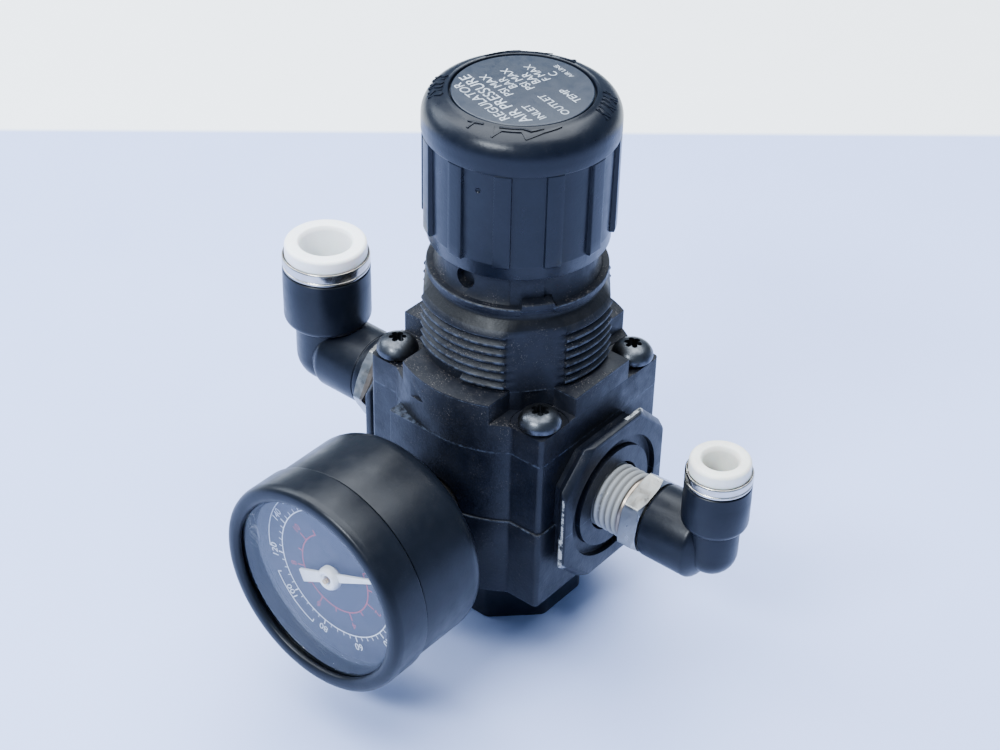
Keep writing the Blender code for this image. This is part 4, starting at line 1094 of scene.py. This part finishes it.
FITTINGS = {
    "inlet": SimpleNamespace(
        side="left", tube_r=5.0, hexagon=17.0, turn=90, hex_start=29.9, hex_end=33.1, barrel_r=7.7,
        start=33.4, end=45.2, bore=6.2, reach=48.4, leg_r=6.6, leg_low=25.6, socket_r=8.85,
        socket_low=40.3, socket_top=52.5, seat_r=7.4, ring_r=8.25, ring_top=58.1, collar_top=55.4,
        travel=0.8,
    ),
    "outlet": SimpleNamespace(
        side="right", tube_r=3.0, hexagon=14.0, turn=48.5, hex_start=30.8, hex_end=34.7, barrel_r=7.2,
        start=35.0, end=44.8, bore=5.4, reach=46.8, leg_r=4.8, leg_low=28.1, socket_r=6.15,
        socket_low=39.2, socket_top=48.6, seat_r=5.2, ring_r=5.62, ring_top=53.6, collar_top=51.1,
        travel=0.9,
    ),
}


def stem_piece(name, f):
    bore = f.tube_r - 1.0
    spigot = f.bore - 0.3
    groove = spigot - 1.1
    end = f.end - 3.6
    hex_start, hex_end = f.hex_start, f.hex_end
    outer = [(bore, 17.4), (5.85, 17.4)]
    for i in range(6):
        low = 21.6 + 1.34 * i
        outer += [(5.9, low, 0.2), (6.5, low + 0.5, 0.25), (6.5, low + 0.85, 0.25)]
    outer += [
        (5.9, 29.7, 0.1), (5.65, hex_start + 0.3), (spigot, hex_start + 1.1), (spigot, hex_end + 1.4),
        (groove, hex_end + 1.4),
    ]
    outer += [
        (groove, hex_end + 3.6), (spigot, hex_end + 3.6), (spigot, end - 0.5), (spigot - 0.5, end),
        (bore, end),
    ]
    stem = lathe(name + "_stem_visible", outer, 0.12, 72, (0, 0, PORT_Z), f.side)
    nut = prism(
        name + "_nut", hexagon(f.hexagon, f.turn), hex_start, hex_end, 0.25, (0, 0, PORT_Z), f.side,
        [circle(bore + 0.4, 32)],
    )
    corner = f.hexagon / math.sqrt(3)
    flat = f.hexagon / 2
    chamfer = [(flat - 0.4, hex_start - 0.4), (corner + 2, hex_start - 0.4), (corner + 2, hex_start + 0.6)]
    chamfer += [(corner + 0.1, hex_start + 0.6), (flat + 0.2, hex_start)]
    other = [(flat + 0.2, hex_end), (corner + 0.1, hex_end - 0.6), (corner + 2, hex_end - 0.6)]
    other += [(corner + 2, hex_end + 0.5), (flat - 0.4, hex_end + 0.5)]
    at = (0, 0, PORT_Z)
    combine(
        nut, [],
        [lathe("chamfer", chamfer, 0, 72, at, f.side), lathe("chamfer_2", other, 0, 72, at, f.side)],
    )
    combine(stem, [nut])
    return piece(stem, STEM_NICKEL, "housing", "nickel", name + "_stem", sharp=30)


def elbow_piece(name, f):
    side = 1 if f.side == "right" else -1
    at = (0, 0, PORT_Z)
    leg_at = (side * f.reach, 0, 0)
    start, end, r = f.start, f.end, f.barrel_r
    barrel = [(0, start), (r - 0.25, start), (r, start + 0.35, 0.25)]
    if name == "inlet":
        barrel += [(r, start + 1.5), (r - 0.3, start + 1.6), (r - 0.3, start + 1.9), (r - 0.1, start + 2.0)]
    barrel += [(r - 0.05, end, 0.6), (f.leg_r * 0.8, f.reach + 0.3, 0.3), (0, f.reach + 0.3)]
    body = lathe(name + "_elbow_visible", barrel, 0.2, 96, at, f.side)
    foot = arc(f.leg_r, -90, 0, 10, (0, f.leg_low + f.leg_r))
    foot = [(0, f.leg_low)] + [(x, z, 0) for x, z in foot[1:]]
    leg = foot + [(f.leg_r, f.socket_low - 0.5, 0.1), (f.socket_r - 1.6, f.socket_low - 0.3, 0.1)]
    leg += [(x, z, 0) for x, z in arc(1.6, -90, 0, 6, (f.socket_r - 1.6, f.socket_low + 1.3))]
    top = f.socket_top
    leg += [
        (f.socket_r, top - 3.0, 0), (f.socket_r - 0.03, top - 2.9, 0), (f.socket_r - 0.03, top, 0.35),
        (0, top),
    ]
    leg = lathe(name + "_leg", leg, 0.2, 96, leg_at)
    across = f.tube_r - 0.9
    seal_low = f.socket_low + 4.0
    stop = seal_low - 3.0
    barrel_cut = [
        (0, start - 1), (f.bore, start - 1), (f.bore, end - 3.2), (across, end - 3.2), (across, f.reach),
        (0, f.reach),
    ]
    leg_cut = [
        (0, PORT_Z - 0.5), (across, PORT_Z - 0.5), (across, stop), (f.tube_r + 0.15, stop),
        (f.tube_r + 0.15, seal_low - 0.3),
    ]
    leg_cut += [(f.seat_r, seal_low - 0.3), (f.seat_r, top + 1), (0, top + 1)]
    combine(
        body, [leg],
        [lathe("barrel_cut", barrel_cut, 0, 64, at, f.side), lathe("leg_cut", leg_cut, 0, 64, leg_at)],
    )
    return piece(body, FITTING, name + "_elbow", "black_fitting", name + "_elbow", sharp=32)


def ring_pieces(name, f):
    side = 1 if f.side == "right" else -1
    leg_at = (side * f.reach, 0, 0)
    inner = f.tube_r + 1.45
    outer = f.seat_r - 0.3
    seal_low = f.socket_low + 4.0
    collar = f.ring_r + 0.52
    recess = f.ring_r + 0.2
    top = f.collar_top
    low = f.socket_top + 0.3
    section = [
        (inner, seal_low + 3.4), (outer, seal_low + 3.4), (outer, low), (collar, low, 0.2),
        (collar, low + 0.45, 0.15),
    ]
    section += [
        (collar - 0.18, low + 0.55, 0.1), (collar - 0.18, low + 0.7, 0.1), (collar, low + 0.8, 0.1),
        (collar, top - 0.25, 0.2),
    ]
    section += [
        (collar - 0.16, top, 0.08), (recess, top, 0.05), (recess, top - 0.4 - f.travel),
        (inner, top - 0.4 - f.travel),
    ]
    piece(
        lathe(name + "_collar", section, 0.08, 96, leg_at), RING_NICKEL, name + "_elbow", "nickel",
        name + "_guide_ring",
    )
    bore = f.tube_r + 0.12
    sleeve = f.tube_r + 1.1
    flange = top - 0.3
    low = seal_low + 3.3 + f.travel
    section = [
        (bore, low), (sleeve - 0.3, low), (sleeve, low + 0.6), (sleeve, flange),
        (f.ring_r - 0.2, flange, 0.2),
    ]
    section += [
        (f.ring_r, flange + 0.3, 0.2), (f.ring_r - 0.05, f.ring_top - 0.45, 0.45),
        (f.ring_r - 0.5, f.ring_top, 0.5),
    ]
    section += [(bore + 0.45, f.ring_top, 0.25), (bore, f.ring_top - 0.8, 0.4)]
    white = PURE_WHITE if name == "inlet" else IVORY
    piece(
        lathe(name + "_ring", section, 0.1, 96, leg_at), white, name + "_release", "white_plastic",
        name + "_release_ring",
    )


# ---------------------------------------------------------------- diaphragm and springs


def diaphragm_pieces():
    """The rubber sheet in twelve sectors, each reaching from the clamped rim to the plate that shifts."""
    section = [(2.8, 48.0), (10.9, 48.0), (11.4, 48.45), (11.8, 49.0), (12.4, 49.25), (13.0, 49.3)]
    section += [(13.6, 49.2), (14.2, 48.9), (14.6, 48.4), (15.0, 48.0), (16.4, 48.0), (16.4, 47.2)]
    section += [(14.6, 47.2), (14.2, 47.7), (13.9, 48.1), (13.4, 48.4), (13.0, 48.5), (12.6, 48.4)]
    section += [(12.2, 48.2), (11.8, 47.7), (11.4, 47.2), (2.8, 47.2)]
    for number in range(12):
        middle = 30 * number
        work = bmesh.new()
        sweep(work, section, [middle + 14.9 * (i / 3 - 1) for i in range(7)])
        sector = piece(make(f"diaphragm_{number}", work), RUBBER, None, "rubber", "diaphragm")
        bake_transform(sector)


def spring_piece(name, radius, thickness, low, high, turns, node):
    """A coil spring on the housing, with a mesh of its own."""
    count = int(turns * 32)
    rise = high - low - 2 * thickness
    points = []
    for i in range(count + 1):
        share = i / count
        angle = 2 * math.pi * turns * share
        eased = share - math.sin(2 * math.pi * share) / (2 * math.pi) * 0.75
        points.append((radius * math.cos(angle), radius * math.sin(angle), low + thickness + rise * eased))
    coil = wire(name, thickness, 3, points)
    piece(coil, STEEL, "housing", "steel", node)
    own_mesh(coil)


# ---------------------------------------------------------------- assembly


body_piece()
plug_piece()
bonnet_piece()
screw_pieces()
knob_piece()
knob_marks()
label_pieces()
gauge_pieces()
for name, sizes in FITTINGS.items():
    stem_piece(name, sizes)
    elbow_piece(name, sizes)
    ring_pieces(name, sizes)
diaphragm_pieces()
spring_piece("main_coil", 8.6, 1.28, 50.3, 71.3, 5.0, "range_spring")
spring_piece("valve_coil", 4.6, 0.44, 16.3, 25.8, 4.0, "valve_spring")


# ---------------------------------------------------------------- stage, light and camera


FLOOR_EDGE_NORMAL = (-0.6582, 0.7528)
FLOOR_EDGE_AWAY = 0.1748
CAMERA_AT = (0.19896, -0.25031, 0.28551)
CAMERA_FORWARD = (-0.5053, 0.6249, -0.5951)
CAMERA_RIGHT = (0.7681, 0.6401, 0.0200)


def floor():
    """A plain pale surface, lavender near the object and white beyond."""
    work = bmesh.new()
    bmesh.ops.create_grid(work, x_segments=1, y_segments=1, size=2.5)
    mesh = bpy.data.meshes.new("floor")
    work.to_mesh(mesh)
    work.free()
    obj = bpy.data.objects.new("floor", mesh)
    bpy.context.scene.collection.objects.link(obj)
    look = Look("floor_pale")
    nx, ny = FLOOR_EDGE_NORMAL
    away = look.plus(look.times(look.axis("X"), nx), look.times(look.axis("Y"), ny))
    beyond = look.ramp(away, FLOOR_EDGE_AWAY - 0.001, FLOOR_EDGE_AWAY + 0.001)
    tone = look.mix(look.ramp(look.noise(9, 3), 0.3, 0.7), rgb(0.41, 0.50, 0.84), rgb(0.44, 0.53, 0.87))
    look.colour(look.mix(beyond, tone, rgb(0.93, 0.94, 0.94)))
    look.rough(look.ramp(look.noise(60, 3), 0.3, 0.7, 0.45, 0.55))
    mesh.materials.append(look.material)


def area_light(name, place, target, size, power, colour):
    data = bpy.data.lights.new(name, "AREA")
    data.shape = "RECTANGLE"
    data.size, data.size_y = size
    data.energy = power
    data.color = colour
    obj = bpy.data.objects.new(name, data)
    bpy.context.scene.collection.objects.link(obj)
    obj.location = place
    obj.rotation_euler = (Vector(target) - Vector(place)).to_track_quat("-Z", "Y").to_euler()


def camera():
    data = bpy.data.cameras.new("camera")
    data.sensor_width = 36
    data.lens = 76.3
    data.clip_start = 0.01
    obj = bpy.data.objects.new("camera", data)
    bpy.context.scene.collection.objects.link(obj)
    forward = Vector(CAMERA_FORWARD).normalized()
    right = Vector(CAMERA_RIGHT)
    right = (right - forward * right.dot(forward)).normalized()
    up = right.cross(forward)
    turn = Matrix((right, up, -forward)).transposed()
    obj.matrix_world = Matrix.Translation(CAMERA_AT) @ turn.to_4x4()
    bpy.context.scene.camera = obj


floor()
world = bpy.data.worlds.new("studio")
world.use_nodes = True
world.node_tree.nodes["Background"].inputs["Color"].default_value = (0.52, 0.70, 1.0, 1)
world.node_tree.nodes["Background"].inputs["Strength"].default_value = 0.55
bpy.context.scene.world = world
area_light("overhead", (-0.22, 0.16, 1.20), (-0.03, 0.06, 0), (1.6, 1.4), 70, (0.88, 0.94, 1.0))
area_light("key", (0.02, -0.64, 0.66), (0, 0, 0.08), (0.34, 0.13), 11, (0.84, 0.92, 1.0))
area_light("left_fill", (-0.7, -0.15, 0.5), (0, 0, 0.05), (0.5, 0.4), 5, (0.78, 0.88, 1.0))
camera()
